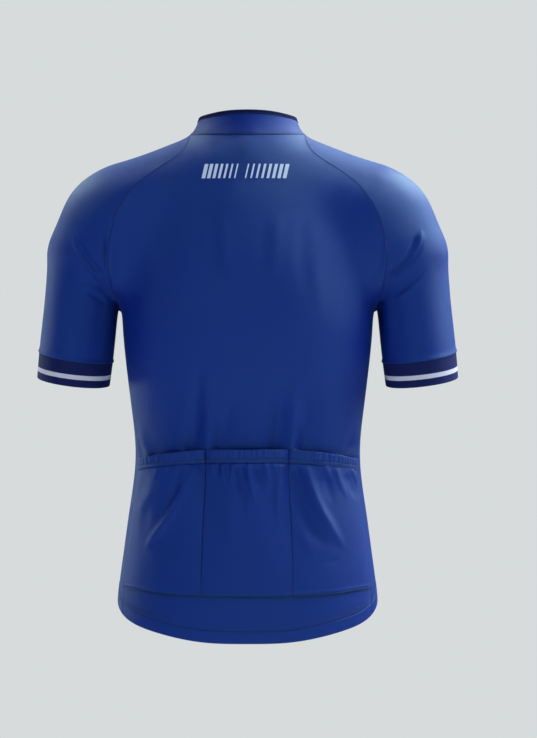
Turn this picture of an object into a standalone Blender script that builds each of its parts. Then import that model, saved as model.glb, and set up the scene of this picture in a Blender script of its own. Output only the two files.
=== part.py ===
"""Short-sleeved raglan cycling jersey, worn and hanging level, as one closed solid for each sewn piece.

Origin: middle of the neck opening, level with the side ends of the collar seam.
+Z is up, +X is the wearer's right, the back faces -Y and the zipped front faces +Y.
All tables are in millimetres; the finished meshes are in metres.
"""
import bpy
import numpy as np
from mathutils import Vector

# ---------------------------------------------------------------- driving dimensions, millimetres
MM = 0.001
WALL = 1.5              # knit wall of every body panel
HEM_WALL = 2.6          # the hem, folded up and stitched
SEAM_GAP = 0.3          # clear gap between neighbouring pieces at a seam
ZIP_HALF_WIDTH = 7.0    # zip tape, half of its showing width
CHAIN_HALF_WIDTH = 2.2
CHAIN_THICKNESS = 1.3
POCKET_BULGE = 11.0     # how far a pocket mouth stands off the back, in its middle
POCKET_SPLIT = 0.307    # pocket divider, as a share of the half back
POCKET_DOME = 0.8       # how square the pocket's mouth bulges; 1 is a sine
POCKET_RISE = 0.7       # how early the bulge begins above the pocket's bottom
DIVIDER_GAP = 0.2       # extra gap on each side of the pocket dividers
CUFF_HEIGHT = 33.0
CUFF_MARK = (228.5, -296.0)   # x and z of the middle of the cuff seam
CUFF_WALL = 2.0
CUFF_SEAM_MIDDLE = -1.5       # how far down the sleeve the seam lies from that mark
CUFF_SEAM_OUTER = -1.5        # how much further down on the outer line
CUFF_SEAM_BACK = 6.5          # how much further down on the back
BINDING_HEIGHT = 4.6
BINDING_WALL = 2.2
TAPE_WALL = 1.3
TAPE_SHORT = 0.6        # how far the zip tape stops below the binding's top edge
CHAIN_START = 4.0       # how far the chain starts above the hem

# Torso: horizontal sections of the general figure
# height, half_width, back, front, squareness
TRUNK = (
    (-720, 173.0, 108, 96, 2.30),
    (-660, 173.5, 109, 98, 2.30),
    (-610, 172.0, 110, 101, 2.32),
    (-560, 166.0, 106, 104, 2.35),
    (-500, 158.0, 95, 105, 2.40),
    (-425, 150.0, 83, 106, 2.40),
    (-360, 155.5, 92, 111, 2.40),
    (-300, 162.5, 106, 116, 2.40),
    (-235, 167.0, 117, 118, 2.40),
    (-170, 162.0, 119, 110, 2.30),
    (-110, 148.0, 109, 93, 2.20),
    (-60, 118.0, 90, 68, 2.10),
    (-20, 66.0, 58, 40, 2.00),
    (40, 20.0, 20, 20, 2.00),
)
# Neck: height, half_width, back, front
NECK = (
    (-80, 92.0, 70.0, 66.0),
    (-48, 84.5, 67.5, 65.5),
    (-20, 78.5, 65.5, 64.5),
    (0, 72.8, 63.5, 63.0),
    (13, 68.2, 62.0, 62.0),
    (24, 65.0, 60.5, 61.0),
    (60, 61.0, 58.0, 60.0),
)
NECK_LEAN = 0.12
# Rounded bars: x, y, z, radius at each station, and the depth factor
YOKE = ((0, -14, -44, 64), (75, -11, -71, 65), (150, -8, -99, 62))
YOKE_DEPTH = 1.12
ARM = ((215, -4, -165, 51.3), (221.3, -3.7, -225, 49.3), (227.7, -3.3, -285, 49.5), (234, -3, -345, 47.8))
ARM_DEPTH = 1.04
SHOULDER_CENTRE = (157, -5, -131)
SHOULDER_RADII = (92.5, 75, 86)
SHOULDER_POWER = 2.3
BLEND_YOKE = 34.0
BLEND_SHOULDER = 34.0
BLEND_NECK = 22.0
BLEND_ARM_LOW = 7.0
BLEND_ARM_HIGH = 40.0
BLEND_ARM_FROM = -236.0

# Line down the middle of the shoulder and sleeve: x, z
SLEEVE_LINE = (
    (36, -46), (80, -58), (120, -74), (156, -96), (186, -126), (205, -166),
    (216, -214), (222.5, -256), (228.5, -296), (231.5, -326), (235, -362),
)
SLEEVE_LINE_Y = -4.0

# Collar seam and collar top, against the angle round the neck from the middle of the back
# angle, seam_height, top_height
COLLAR = (
    (0, -5, 25.5),
    (30, -4, 24.5),
    (60, -1.5, 21.5),
    (90, -1, 19.0),
    (115, -10, 11.5),
    (140, -27, -2.0),
    (162, -41, -13.0),
    (180, -46, -16.5),
)
COLLAR_BACK_ANGLE = 76.0     # where the back raglan seam meets the collar
COLLAR_FRONT_ANGLE = 124.0   # where the front raglan seam meets the collar

# Raglan seams, from the collar down to the underarm: x, z
RAGLAN_BACK = (
    (78.5, -13.5), (86.0, -26.5), (102.4, -38.8), (122.3, -51.8), (141.9, -67.0), (155.0, -81.8),
    (164.8, -97.4), (172.4, -113.8), (176.7, -130.1), (180.6, -149.3), (182.0, -166.0), (180.8, -184.6),
    (178.6, -202.0),
)
RAGLAN_FRONT = (
    (82, -46), (106, -66), (128, -88), (147, -111), (160, -136), (169, -162), (175, -188),
)
# Side seam, hem and pocket lines: height of the side seam, angle round from the middle of the back
SIDE_SEAM = (
    (-232, 92.0), (-300, 88.5), (-350, 84.5), (-392, 78.5),
    (-430, 73.0), (-475, 71.2), (-560, 70.0), (-660, 68.5),
)
# Level lines round the body: angle, hem, hem_stitch, pocket_bottom, band_bottom, band_top
LEVELS = (
    (0, -665.5, -646.0, -604.5, -433.0, -414.5),
    (20, -664.0, -644.6, -604.2, -433.2, -414.8),
    (45, -652.5, -633.5, -601.5, -438.0, -420.5),
    (62, -640.5, -622.0, -598.5, -443.0, -427.0),
    (75, -627.0, -608.5, -595.5, -446.0, -430.0),
    (90, -612.0, -593.0, -580.0, -446.0, -430.0),
    (115, -600.5, -581.5, -570.0, -446.0, -430.0),
    (150, -597.0, -578.0, -566.0, -446.0, -430.0),
    (180, -597.0, -578.0, -566.0, -446.0, -430.0),
)

# How far out the body panels and how far in the sleeves may reach round the underarm fold: height, x
BODY_FENCE = ((-236, 173), (-226, 175), (-212, 181), (-200, 186), (-160, 192), (-130, 210), (-90, 300))
SLEEVE_FENCE = ((-228, 168.5), (-215, 166), (-200, 160), (-180, 140), (-140, 90), (-110, 0))
# Where the underarm fold is looked for, and the depths (y) of the raglan seams' knots along it
FOLD_X = (164.0, 196.0)
FOLD_Z = (-262.0, -150.0)
UNDERARM_DEPTH = -4.0
BACK_FOLD_DEPTHS = (-28.0, -16.0)
FRONT_FOLD_DEPTHS = (20.0, 8.0)
# How far a line from the core is followed to find the cloth
TORSO_REACH = 330.0
SLEEVE_REACH = 150.0
NECK_REACH = 160.0
FACING_REACH = 170.0
MARCH_STEPS = 150
HALVINGS = 26
ZIP_NECK_RADIUS = 68.0      # of the neck beside the zip
ZIP_EVEN_SHARE = 0.65       # how evenly the zip's nodes are spaced, against the side edge's own spacing

# Number of mesh cells
BACK_SIDE_CELLS = 5         # across each outer pocket
BACK_MIDDLE_CELLS = 6       # across the middle pocket
FRONT_CELLS = 7
HEM_ROWS = 1
TAIL_ROWS = 2
POCKET_ROWS = 6
BAND_ROWS = 1
SIDE_ROWS = 4
RAGLAN_ROWS = 11
SLEEVE_TOP_CELLS = 4
SLEEVE_ROWS = 12
CUFF_ROWS = 2
COLLAR_ROWS = 2

# Slider and pull tab of the front zip, in the zip's own frame: across, up, out
SLIDER_DROP = 13.0          # slider's middle below the binding's top edge
SLIDER_BASE = (9.0, 11.0, 2.0)
SLIDER_CLEARANCE = 0.35
LUG_SPACING = 5.4
LUG_THICKNESS = 1.1
LUG_RADIUS = 1.7
PIN_RADIUS = 0.75
PIN_RISE = 2.6              # pin axis above the top of the slider base
EYE_BORE = 1.15
EYE_RADIUS = 2.1
EYE_WIDTH = 3.4
TAB_LENGTH = 26.0
TAB_WIDTH = 7.0
TAB_THICKNESS = 1.3
ROUND_SIDES = 16            # of the pin, the eye and its bore
BASE_BEVEL = (0.9, 0.7)     # of the slider base's ends: up, out
LUG_FOOT = 2.6              # half of a lug's length where it leaves the base
LUG_SUNK = 0.5
NECK_LOW = 6.5              # the pull's neck, from here below the pin up into the eye
NECK_HIGH = 0.4
NECK_HALF_HIGH = 1.2
NECK_LOW_OUT = -0.2
NECK_SIDE = 0.02            # how much narrower the neck is than the eye
PLATE_TOP = 6.0
# Rounded lower corners of the pull's plate: above its end, in from its side
PLATE_CORNER = ((2.5, 0.0), (0.7, 0.9), (0.0, 2.6))

# Finishes: colour, roughness, metallic
BLUE = ((0.010, 0.040, 0.190), 0.7, 0.0)
NAVY = ((0.009, 0.012, 0.050), 0.7, 0.0)
COIL = ((0.030, 0.032, 0.036), 0.45, 0.0)
METAL = ((0.030, 0.032, 0.036), 0.4, 0.6)

for leftover in list(bpy.data.objects):
    bpy.data.objects.remove(leftover, do_unlink=True)


# ---------------------------------------------------------------- the general figure
def natural_spline(knots, values):
    """Natural cubic curve through the values at the knots; constant beyond both ends."""
    knots = np.asarray(knots, float)
    values = np.asarray(values, float)
    count = len(knots)
    step = np.diff(knots)
    matrix = np.eye(count)
    right = np.zeros((count,) + values.shape[1:])
    slope = np.diff(values, axis=0) / step.reshape((-1,) + (1,) * (values.ndim - 1))
    for i in range(1, count - 1):
        matrix[i, i - 1:i + 2] = step[i - 1], 2 * (step[i - 1] + step[i]), step[i]
        right[i] = 6 * (slope[i] - slope[i - 1])
    bend = np.linalg.solve(matrix, right)

    def curve(at):
        at = np.clip(np.asarray(at, float), knots[0], knots[-1])
        i = np.clip(np.searchsorted(knots, at) - 1, 0, count - 2)
        shape = at.shape + (1,) * (values.ndim - 1)
        before = (knots[i + 1] - at).reshape(shape)
        after = (at - knots[i]).reshape(shape)
        h = step[i].reshape(shape)
        cubic = (bend[i] * before ** 3 + bend[i + 1] * after ** 3) / (6 * h)
        low = (values[i] / h - bend[i] * h / 6) * before
        return cubic + low + (values[i + 1] / h - bend[i + 1] * h / 6) * after

    return curve


def column_curves(table):
    """One spline for each column of a table, against its first column."""
    rows = np.array(table, float)
    rows = rows[np.argsort(rows[:, 0])]
    return [natural_spline(rows[:, 0], rows[:, k]) for k in range(1, rows.shape[1])]


TRUNK_CURVES = column_curves(TRUNK)
NECK_CURVES = column_curves(NECK)


def smooth_min(a, b, reach):
    """Smaller of two distances, rounded where they differ by less than the reach."""
    h = np.maximum(reach - np.abs(a - b), 0) / reach
    return np.minimum(a, b) - h ** 3 * reach / 6


def rounded_bar(p, stations, depth):
    """Distance outside a bar with a smoothly changing radius between its first and last station."""
    stations = np.array(stations, float)
    start = stations[0, :3]
    line = stations[-1, :3] - start
    along = np.clip((p - start) @ line / (line @ line), 0, 1)
    nearest = start + along[..., None] * line
    radius = natural_spline(np.linspace(0, 1, len(stations)), stations[:, 3])(along)
    away = (p - nearest) / np.array([1, depth, 1])
    return np.sqrt((away ** 2).sum(-1) + 1e-9) - radius


def form(points):
    """Smooth union of trunk, shoulders, arms and neck; negative inside."""
    p = np.array(points, float)
    p[..., 0] = np.abs(p[..., 0])
    x, y, z = p[..., 0], p[..., 1], p[..., 2]
    half, back, front, power = (curve(z) for curve in TRUNK_CURVES)
    middle = (front - back) / 2
    deep = (front + back) / 2
    rho = ((x / half) ** power + (np.abs(y - middle) / deep) ** power + 1e-12) ** (1 / power)
    body = (rho - 1) * np.minimum(half, deep)
    body = smooth_min(body, rounded_bar(p, YOKE, YOKE_DEPTH), BLEND_YOKE)
    ball = np.abs((p - np.array(SHOULDER_CENTRE)) / np.array(SHOULDER_RADII))
    ball = (((ball ** SHOULDER_POWER).sum(-1) + 1e-12) ** (1 / SHOULDER_POWER) - 1) * min(SHOULDER_RADII)
    body = smooth_min(body, ball, BLEND_SHOULDER)
    rise = np.clip((z - BLEND_ARM_FROM) / 100, 0, 1)
    reach = BLEND_ARM_LOW + (BLEND_ARM_HIGH - BLEND_ARM_LOW) * rise ** 2 * (3 - 2 * rise)
    body = smooth_min(body, rounded_bar(p, ARM, ARM_DEPTH), reach)
    half, back, front = (curve(z) for curve in NECK_CURVES)
    middle = (front - back) / 2 + NECK_LEAN * np.maximum(z, -60)
    deep = (front + back) / 2
    neck = np.sqrt((x / half) ** 2 + ((y - middle) / deep) ** 2 + 1e-12)
    neck = (neck - 1) * np.minimum(half, deep)
    return smooth_min(body, neck, BLEND_NECK)


def outward(points):
    """Unit normals of the form, from central differences."""
    points = np.asarray(points, float)
    slope = np.zeros(points.shape)
    for axis in range(3):
        nudge = np.zeros(3)
        nudge[axis] = 0.6
        slope[..., axis] = form(points + nudge) - form(points - nudge)
    return slope / np.linalg.norm(slope, axis=-1, keepdims=True)


def first_exit(start, direction, reach, inside=form):
    """Where each line from inside the form first leaves it: marched, then halved."""
    start, direction = np.broadcast_arrays(np.asarray(start, float), np.asarray(direction, float))
    near = np.zeros(start.shape[:-1])
    far = np.full(start.shape[:-1], float(reach))
    found = np.zeros(start.shape[:-1], bool)
    for k in range(1, MARCH_STEPS + 1):
        at = reach * k / MARCH_STEPS
        outside = inside(start + at * direction) > 0
        fresh = outside & ~found
        far = np.where(fresh, at, far)
        near = np.where(fresh, reach * (k - 1) / MARCH_STEPS, near)
        found |= outside
    for _ in range(HALVINGS):
        mid = (near + far) / 2
        outside = inside(start + mid[..., None] * direction) > 0
        far = np.where(outside, mid, far)
        near = np.where(outside, near, mid)
    return start + ((near + far) / 2)[..., None] * direction


def settle(points):
    """Points moved along the slope of the form until they lie on it."""
    for _ in range(6):
        normal = outward(points)
        rate = (form(points + 0.3 * normal) - form(points - 0.3 * normal)) / 0.6
        points = points - (form(points) / np.maximum(rate, 0.2))[..., None] * normal
    return points


def body_form(points):
    """The form as the body panels see it, cut off where the sleeve begins."""
    points = np.asarray(points, float)
    fence = np.interp(points[..., 2], *np.array(BODY_FENCE, float).T)
    return np.maximum(form(points), np.abs(points[..., 0]) - fence)


def sleeve_form(points):
    """The form as the sleeve sees it, cut off where the body begins."""
    points = np.asarray(points, float)
    fence = np.interp(points[..., 2], *np.array(SLEEVE_FENCE, float).T)
    return np.maximum(form(points), fence - points[..., 0])


# ---------------------------------------------------------------- torso lines: angle and level
FOCUS = 80.0
RAY_X = 160.0
RAY_Y = 110.0
PIVOT_HEIGHT = -170.0
PIVOT_REACH = 150.0


def torso_rays(angle, level):
    """Line from the spine's core for each angle round the back and level; it tilts up above the pivot."""
    angle = np.radians(np.asarray(angle, float))
    level = np.asarray(level, float)
    tilt = np.maximum(level - PIVOT_HEIGHT, 0) / PIVOT_REACH
    focus = FOCUS * np.cos(tilt)
    start = np.stack([focus * np.sin(angle), np.zeros_like(focus * angle), np.minimum(level, PIVOT_HEIGHT)
                      + 0 * angle], -1)
    flat = np.stack([(RAY_X - focus) * np.sin(angle), -RAY_Y * np.cos(angle)], -1)
    flat = flat / np.linalg.norm(flat, axis=-1, keepdims=True)
    lift = np.broadcast_to(tilt, flat.shape[:-1])
    direction = np.concatenate([flat * np.cos(lift)[..., None], np.sin(lift)[..., None]], -1)
    return start, direction


def torso_point(angle, level):
    """Point of the form at an angle (degrees from the middle of the back) and level."""
    start, direction = torso_rays(angle, level)
    return first_exit(start, direction, TORSO_REACH, body_form)


def torso_angle_level(points):
    """Angle and level of the torso line through each point, by repeated halving."""
    p = np.asarray(points, float)
    x, y, z = np.abs(p[..., 0]), p[..., 1], p[..., 2]
    tilt = np.zeros(x.shape)
    for _ in range(40):
        focus = FOCUS * np.cos(tilt)
        low = np.where(y < 0, 0.0, np.pi / 2)
        high = low + np.pi / 2
        for _ in range(40):
            mid = (low + high) / 2
            side = (x * RAY_Y * np.cos(mid) + y * (RAY_X - focus) * np.sin(mid)
                    - focus * RAY_Y * np.sin(mid) * np.cos(mid))
            low = np.where(side > 0, mid, low)
            high = np.where(side > 0, high, mid)
        run = np.hypot(x - focus * np.sin(mid), y)
        tilt = np.maximum(np.arctan2(z - PIVOT_HEIGHT, run), 0)
    level = np.where(z > PIVOT_HEIGHT, PIVOT_HEIGHT + tilt * PIVOT_REACH, z)
    return np.degrees(mid) * np.sign(p[..., 0] + 1e-9), level


# ---------------------------------------------------------------- sleeve lines: station and turn
_line = np.array(SLEEVE_LINE, float)
_chord = np.concatenate([[0], np.cumsum(np.hypot(*np.diff(_line, axis=0).T))])
SLEEVE_CURVE = natural_spline(_chord, _line)
SLEEVE_LENGTH = _chord[-1]


def sleeve_frame(station):
    """Middle point, direction and outer normal of the sleeve's line at each station."""
    station = np.asarray(station, float)
    at = SLEEVE_CURVE(station)
    ahead = SLEEVE_CURVE(station + 0.5) - SLEEVE_CURVE(station - 0.5)
    ahead = ahead / np.linalg.norm(ahead, axis=-1, keepdims=True)
    flat = np.full(station.shape, SLEEVE_LINE_Y)
    middle = np.stack([at[..., 0], flat, at[..., 1]], -1)
    along = np.stack([ahead[..., 0], 0 * flat, ahead[..., 1]], -1)
    outer = np.stack([-ahead[..., 1], 0 * flat, ahead[..., 0]], -1)
    return middle, along, outer


def sleeve_point(station, turn):
    """Point of the form on the ring at a station; the turn runs from the outer line round the back."""
    middle, _, outer = sleeve_frame(station)
    turn = np.radians(np.asarray(turn, float))[..., None]
    direction = np.cos(turn) * outer + np.sin(turn) * np.array([0.0, -1.0, 0.0])
    return first_exit(middle, direction, SLEEVE_REACH, sleeve_form)


def sleeve_station_turn(points):
    """Station and turn of each point: the nearest ring plane that holds it."""
    p = np.asarray(points, float)
    stations = np.linspace(1, SLEEVE_LENGTH - 1, 1200)
    middle, along, _ = sleeve_frame(stations)
    offset = p[..., None, :] - middle
    beside = (offset * along).sum(-1)
    apart = np.linalg.norm(offset, axis=-1)
    cross = (beside[..., :-1] >= 0) & (beside[..., 1:] < 0)
    score = np.where(cross, apart[..., :-1], 1e9)
    pick = np.argmin(score, -1)
    before = np.take_along_axis(beside, pick[..., None], -1)[..., 0]
    after = np.take_along_axis(beside, pick[..., None] + 1, -1)[..., 0]
    share = before / (before - after)
    station = stations[pick] + share * (stations[1] - stations[0])
    middle, _, outer = sleeve_frame(station)
    away = p - middle
    turn = np.degrees(np.arctan2(-away[..., 1], (away * outer).sum(-1)))
    return station, turn % 360


# ---------------------------------------------------------------- shared seam curves
COLLAR_SEAM_HEIGHT, COLLAR_TOP_HEIGHT = column_curves(COLLAR)
SIDE_ANGLE, = column_curves(SIDE_SEAM)
LEVEL_CURVES = column_curves(LEVELS)


def neck_point(angle, height):
    """Point of the form on a level line from the neck's core."""
    turn = np.radians(np.asarray(angle, float))
    height = np.asarray(height, float)
    start = np.stack([0 * turn, 0 * turn + 2.0, height + 0 * turn], -1)
    direction = np.stack([np.sin(turn), -np.cos(turn), 0 * turn], -1)
    return first_exit(start, direction, NECK_REACH)


def along_curve(points, shares):
    """Points of a curve at shares of its length, by a spline through its given points."""
    points = np.asarray(points, float)
    length = np.concatenate([[0], np.cumsum(np.linalg.norm(np.diff(points, axis=0), axis=-1))])
    return natural_spline(length / length[-1], points)(np.asarray(shares, float))


def facing_point(x, z, side):
    """Point of the form straight in from the front (+1) or the back (-1)."""
    x = np.asarray(x, float)
    z = np.asarray(z, float)
    start = np.stack([x, 0 * x - 4.0, z], -1)
    return first_exit(start, np.array([0.0, float(side), 0.0]), FACING_REACH)


def underarm_fold(depth):
    """Lowest point of the cloth between arm and body at one depth, where the two sides meet."""
    across = np.linspace(*FOLD_X, 161)
    low, high = FOLD_Z
    for _ in range(30):
        mid = (low + high) / 2
        gap = form(np.stack([across, 0 * across + depth, 0 * across + mid], -1))
        low, high = (mid, high) if gap.max() > 0 else (low, mid)
    return np.array([across[np.argmax(gap)], depth, mid])


UNDERARM = underarm_fold(UNDERARM_DEPTH)
BACK_FOLD = np.stack([underarm_fold(depth) for depth in BACK_FOLD_DEPTHS])
FRONT_FOLD = np.stack([underarm_fold(depth) for depth in FRONT_FOLD_DEPTHS])


def raglan_curve(table, fold, collar_angle, side, shares):
    """Raglan seam from the underarm up to the collar, a smooth curve settled on the form."""
    rows = np.array(table, float)
    between = facing_point(rows[:, 0], rows[:, 1], side)
    top = neck_point(collar_angle, COLLAR_SEAM_HEIGHT(collar_angle))
    knots = np.concatenate([[top], between, fold, [UNDERARM]])[::-1]
    points = settle(along_curve(knots, shares))
    points[0] = UNDERARM
    points[-1] = top
    return points


raglan_shares = np.linspace(0, 1, RAGLAN_ROWS + 1)
BACK_RAGLAN = raglan_curve(RAGLAN_BACK, BACK_FOLD, COLLAR_BACK_ANGLE, -1, raglan_shares)
FRONT_RAGLAN = raglan_curve(RAGLAN_FRONT, FRONT_FOLD, COLLAR_FRONT_ANGLE, 1, raglan_shares)


def side_angle_at(curve):
    """Angle where a level line round the body meets the side seam."""
    angle = np.array(75.0)
    for _ in range(12):
        angle = SIDE_ANGLE(curve(angle))
    return float(angle)


def side_levels():
    """Levels of the side seam's nodes, from the hem up to the underarm."""
    marks = [float(curve(side_angle_at(curve))) for curve in LEVEL_CURVES] + [UNDERARM[2]]
    counts = (HEM_ROWS, TAIL_ROWS, POCKET_ROWS, BAND_ROWS, SIDE_ROWS)
    levels = [np.linspace(marks[k], marks[k + 1], n + 1)[:-1] for k, n in enumerate(counts)]
    return np.concatenate(levels + [[marks[-1]]])


SIDE_LEVELS = side_levels()
SIDE_POINTS = torso_point(SIDE_ANGLE(SIDE_LEVELS), SIDE_LEVELS)
SIDE_POINTS[-1] = UNDERARM
LOW_ROWS = HEM_ROWS + TAIL_ROWS + POCKET_ROWS + BAND_ROWS


# ---------------------------------------------------------------- meshes
def material(name, finish):
    colour, roughness, metallic = finish
    made = bpy.data.materials.new(name)
    made.use_nodes = True
    shader = made.node_tree.nodes["Principled BSDF"]
    shader.inputs["Base Color"].default_value = (*colour, 1.0)
    shader.inputs["Roughness"].default_value = roughness
    shader.inputs["Metallic"].default_value = metallic
    return made


def add_object(name, points, faces, finish):
    """Named mesh object at the origin, in metres, with its own material."""
    mesh = bpy.data.meshes.new(name)
    mesh.from_pydata((np.asarray(points) * MM).tolist(), [], [tuple(int(i) for i in f) for f in faces])
    mesh.materials.append(material(name + "_material", finish))
    mesh.update()
    made = bpy.data.objects.new(name, mesh)
    bpy.context.scene.collection.objects.link(made)
    return made


def grid_shell(outer, inner, ring=False):
    """Closed shell between two matching grids: (rows, columns, 3), rows running up, columns
    counter-clockwise seen from above. A ring joins its last column to its first."""
    rows, cols = outer.shape[:2]
    node = np.arange(rows * cols).reshape(rows, cols)
    if ring:
        node = np.concatenate([node, node[:, :1]], 1)
    a, b = node[:-1, :-1], node[:-1, 1:]
    c, d = node[1:, 1:], node[1:, :-1]
    flip = (np.arange(a.shape[1]) >= a.shape[1] / 2)[None, :] & np.ones(a.shape, bool)
    first = np.where(flip[..., None], np.stack([a, b, c], -1), np.stack([a, b, d], -1))
    second = np.where(flip[..., None], np.stack([a, c, d], -1), np.stack([b, c, d], -1))
    skin = np.concatenate([first.reshape(-1, 3), second.reshape(-1, 3)])
    shift = rows * cols
    parts = [skin, skin[:, ::-1] + shift]
    edges = [(node[0, :-1], node[0, 1:]), (node[-1, 1:], node[-1, :-1])]
    if not ring:
        edges += [(node[:-1, -1], node[1:, -1]), (node[1:, 0], node[:-1, 0])]
    for start, end in edges:
        parts.append(np.stack([end, start, start + shift], -1))
        parts.append(np.stack([end, start + shift, end + shift], -1))
    points = np.concatenate([outer.reshape(-1, 3), inner.reshape(-1, 3)])
    return points, np.concatenate(parts)


def inset(grid, normals, amount, ring=False):
    """Boundary nodes moved in, square to the boundary and to the cloth's normal there."""
    shift = np.zeros(grid.shape)

    def push(edge, within, normal, wrap):
        tangent = np.roll(edge, -1, 0) - np.roll(edge, 1, 0) if wrap else np.gradient(edge, axis=0)
        across = np.cross(tangent, normal)
        across /= np.linalg.norm(across, axis=-1, keepdims=True)
        return amount * across * np.sign(((within - edge) * across).sum(-1, keepdims=True))

    shift[0] += push(grid[0], grid[1], normals[0], ring)
    shift[-1] += push(grid[-1], grid[-2], normals[-1], ring)
    if not ring:
        shift[:, 0] += push(grid[:, 0], grid[:, 1], normals[:, 0], False)
        shift[:, -1] += push(grid[:, -1], grid[:, -2], normals[:, -1], False)
    return grid + shift


def panel(name, grid, normals, wall, finish, ring=False, mirror=False):
    """Cloth wall under a grid of surface points; a mirror copy is turned face for face."""
    face_up = inset(grid, normals, SEAM_GAP / 2, ring)
    thickness = np.asarray(wall, float)
    if thickness.ndim == 1:
        thickness = thickness[:, None]
    inner = face_up - normals * np.broadcast_to(thickness, grid.shape[:2])[..., None]
    points, faces = grid_shell(face_up, inner, ring)
    if mirror:
        points = points * np.array([-1, 1, 1])
        faces = faces[:, ::-1]
    return add_object(name, points, faces, finish)


def coons(bottom, top, left, right):
    """Grid filled between four boundary curves whose corners meet."""
    across = np.linspace(0, 1, len(bottom))[None, :, None]
    up = np.linspace(0, 1, len(left))[:, None, None]
    ruled = (1 - up) * bottom[None] + up * top[None] + (1 - across) * left[:, None] + across * right[:, None]
    corners = ((1 - up) * ((1 - across) * bottom[0] + across * bottom[-1])
               + up * ((1 - across) * top[0] + across * top[-1]))
    return ruled - corners


# ---------------------------------------------------------------- back panel
side_share = np.linspace(POCKET_SPLIT, 1, BACK_SIDE_CELLS + 1)[1:]
middle_share = np.linspace(-POCKET_SPLIT, POCKET_SPLIT, BACK_MIDDLE_CELLS + 1)
BACK_SHARES = np.concatenate([-side_share[::-1], middle_share, side_share])
BACK_COLUMNS = len(BACK_SHARES)


def low_row(row):
    """Angle and level across the back at one of the rows up to the top of the pocket bands."""
    counts = np.cumsum((0, HEM_ROWS, TAIL_ROWS, POCKET_ROWS, BAND_ROWS))
    zone = min(int(np.searchsorted(counts, row, side="right")) - 1, 3)
    share = (row - counts[zone]) / (counts[zone + 1] - counts[zone])
    angle = BACK_SHARES * float(SIDE_ANGLE(SIDE_LEVELS[row]))
    below = LEVEL_CURVES[zone](np.abs(angle))
    above = LEVEL_CURVES[zone + 1](np.abs(angle))
    level = below + (above - below) * share
    level[0] = level[-1] = SIDE_LEVELS[row]
    return np.stack([angle, level], -1)


low_rows = np.stack([low_row(row) for row in range(LOW_ROWS + 1)])
side_upper = np.stack([SIDE_ANGLE(SIDE_LEVELS[LOW_ROWS:]), SIDE_LEVELS[LOW_ROWS:]], -1)
raglan_lines = np.stack(torso_angle_level(BACK_RAGLAN), -1)[1:]
right_edge = np.concatenate([side_upper, raglan_lines])
left_edge = right_edge * np.array([-1, 1])
collar_angles = COLLAR_BACK_ANGLE * np.linspace(-1, 1, BACK_COLUMNS)
collar_back = neck_point(collar_angles, COLLAR_SEAM_HEIGHT(np.abs(collar_angles)))
top_edge = np.stack(torso_angle_level(collar_back), -1)
upper_rows = coons(low_rows[-1], top_edge, left_edge, right_edge)
lines = np.concatenate([low_rows, upper_rows[1:]])
BACK_GRID = torso_point(lines[..., 0], lines[..., 1])
BACK_GRID[:len(SIDE_POINTS), -1] = SIDE_POINTS
BACK_GRID[len(SIDE_POINTS) - 1:, -1] = BACK_RAGLAN
BACK_GRID[:, 0] = BACK_GRID[:, -1] * np.array([-1, 1, 1])
BACK_GRID[-1] = collar_back
BACK_NORMALS = outward(BACK_GRID)
back_wall = np.full(len(BACK_GRID), WALL)
back_wall[:HEM_ROWS + 1] = HEM_WALL
panel("back_panel", BACK_GRID, BACK_NORMALS, back_wall, BLUE)

# ---------------------------------------------------------------- front panels and zip tape
front_rows = len(SIDE_POINTS) + RAGLAN_ROWS
side_edge = np.concatenate([SIDE_POINTS, FRONT_RAGLAN[1:]])
steps = np.concatenate([[0], np.cumsum(np.linalg.norm(np.diff(side_edge, axis=0), axis=-1))])
steps = steps / steps[-1]
zip_shares = ZIP_EVEN_SHARE * np.linspace(0, 1, front_rows) + (1 - ZIP_EVEN_SHARE) * steps
hem_front = float(LEVEL_CURVES[0](180.0))
neck_front = float(COLLAR_SEAM_HEIGHT(180.0))
ZIP_LEVELS = hem_front + (neck_front - hem_front) * zip_shares


def zip_points(x, levels):
    """Points of the front at one distance from its middle line."""
    return facing_point(np.full(len(levels), float(x)), levels, 1)


centre_edge = zip_points(ZIP_HALF_WIDTH, ZIP_LEVELS)
zip_collar_angle = 180 - np.degrees(np.arcsin(ZIP_HALF_WIDTH / ZIP_NECK_RADIUS))
centre_lines = np.stack(torso_angle_level(centre_edge), -1)
side_lines = np.stack(torso_angle_level(side_edge), -1)
side_lines[:len(SIDE_LEVELS)] = np.stack([SIDE_ANGLE(SIDE_LEVELS), SIDE_LEVELS], -1)
hem_angle = np.linspace(side_lines[0, 0], centre_lines[0, 0], FRONT_CELLS + 1)
hem_edge = np.stack([hem_angle, LEVEL_CURVES[0](hem_angle)], -1)
hem_edge[0] = side_lines[0]
hem_edge[-1] = centre_lines[0]
collar_front_angles = np.linspace(COLLAR_FRONT_ANGLE, zip_collar_angle, FRONT_CELLS + 1)
collar_front = neck_point(collar_front_angles, COLLAR_SEAM_HEIGHT(collar_front_angles))
collar_front[-1] = centre_edge[-1]
collar_front_lines = np.stack(torso_angle_level(collar_front), -1)
front_lines = coons(hem_edge, collar_front_lines, side_lines, centre_lines)
FRONT_GRID = torso_point(front_lines[..., 0], front_lines[..., 1])
FRONT_GRID[:, 0] = side_edge
FRONT_GRID[:, -1] = centre_edge
FRONT_GRID[-1] = collar_front
FRONT_NORMALS = outward(FRONT_GRID)
front_wall = np.full(front_rows, WALL)
front_wall[:2] = HEM_WALL
panel("front_panel_right", FRONT_GRID, FRONT_NORMALS, front_wall, BLUE)
panel("front_panel_left", FRONT_GRID, FRONT_NORMALS, front_wall, BLUE, mirror=True)

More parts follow.
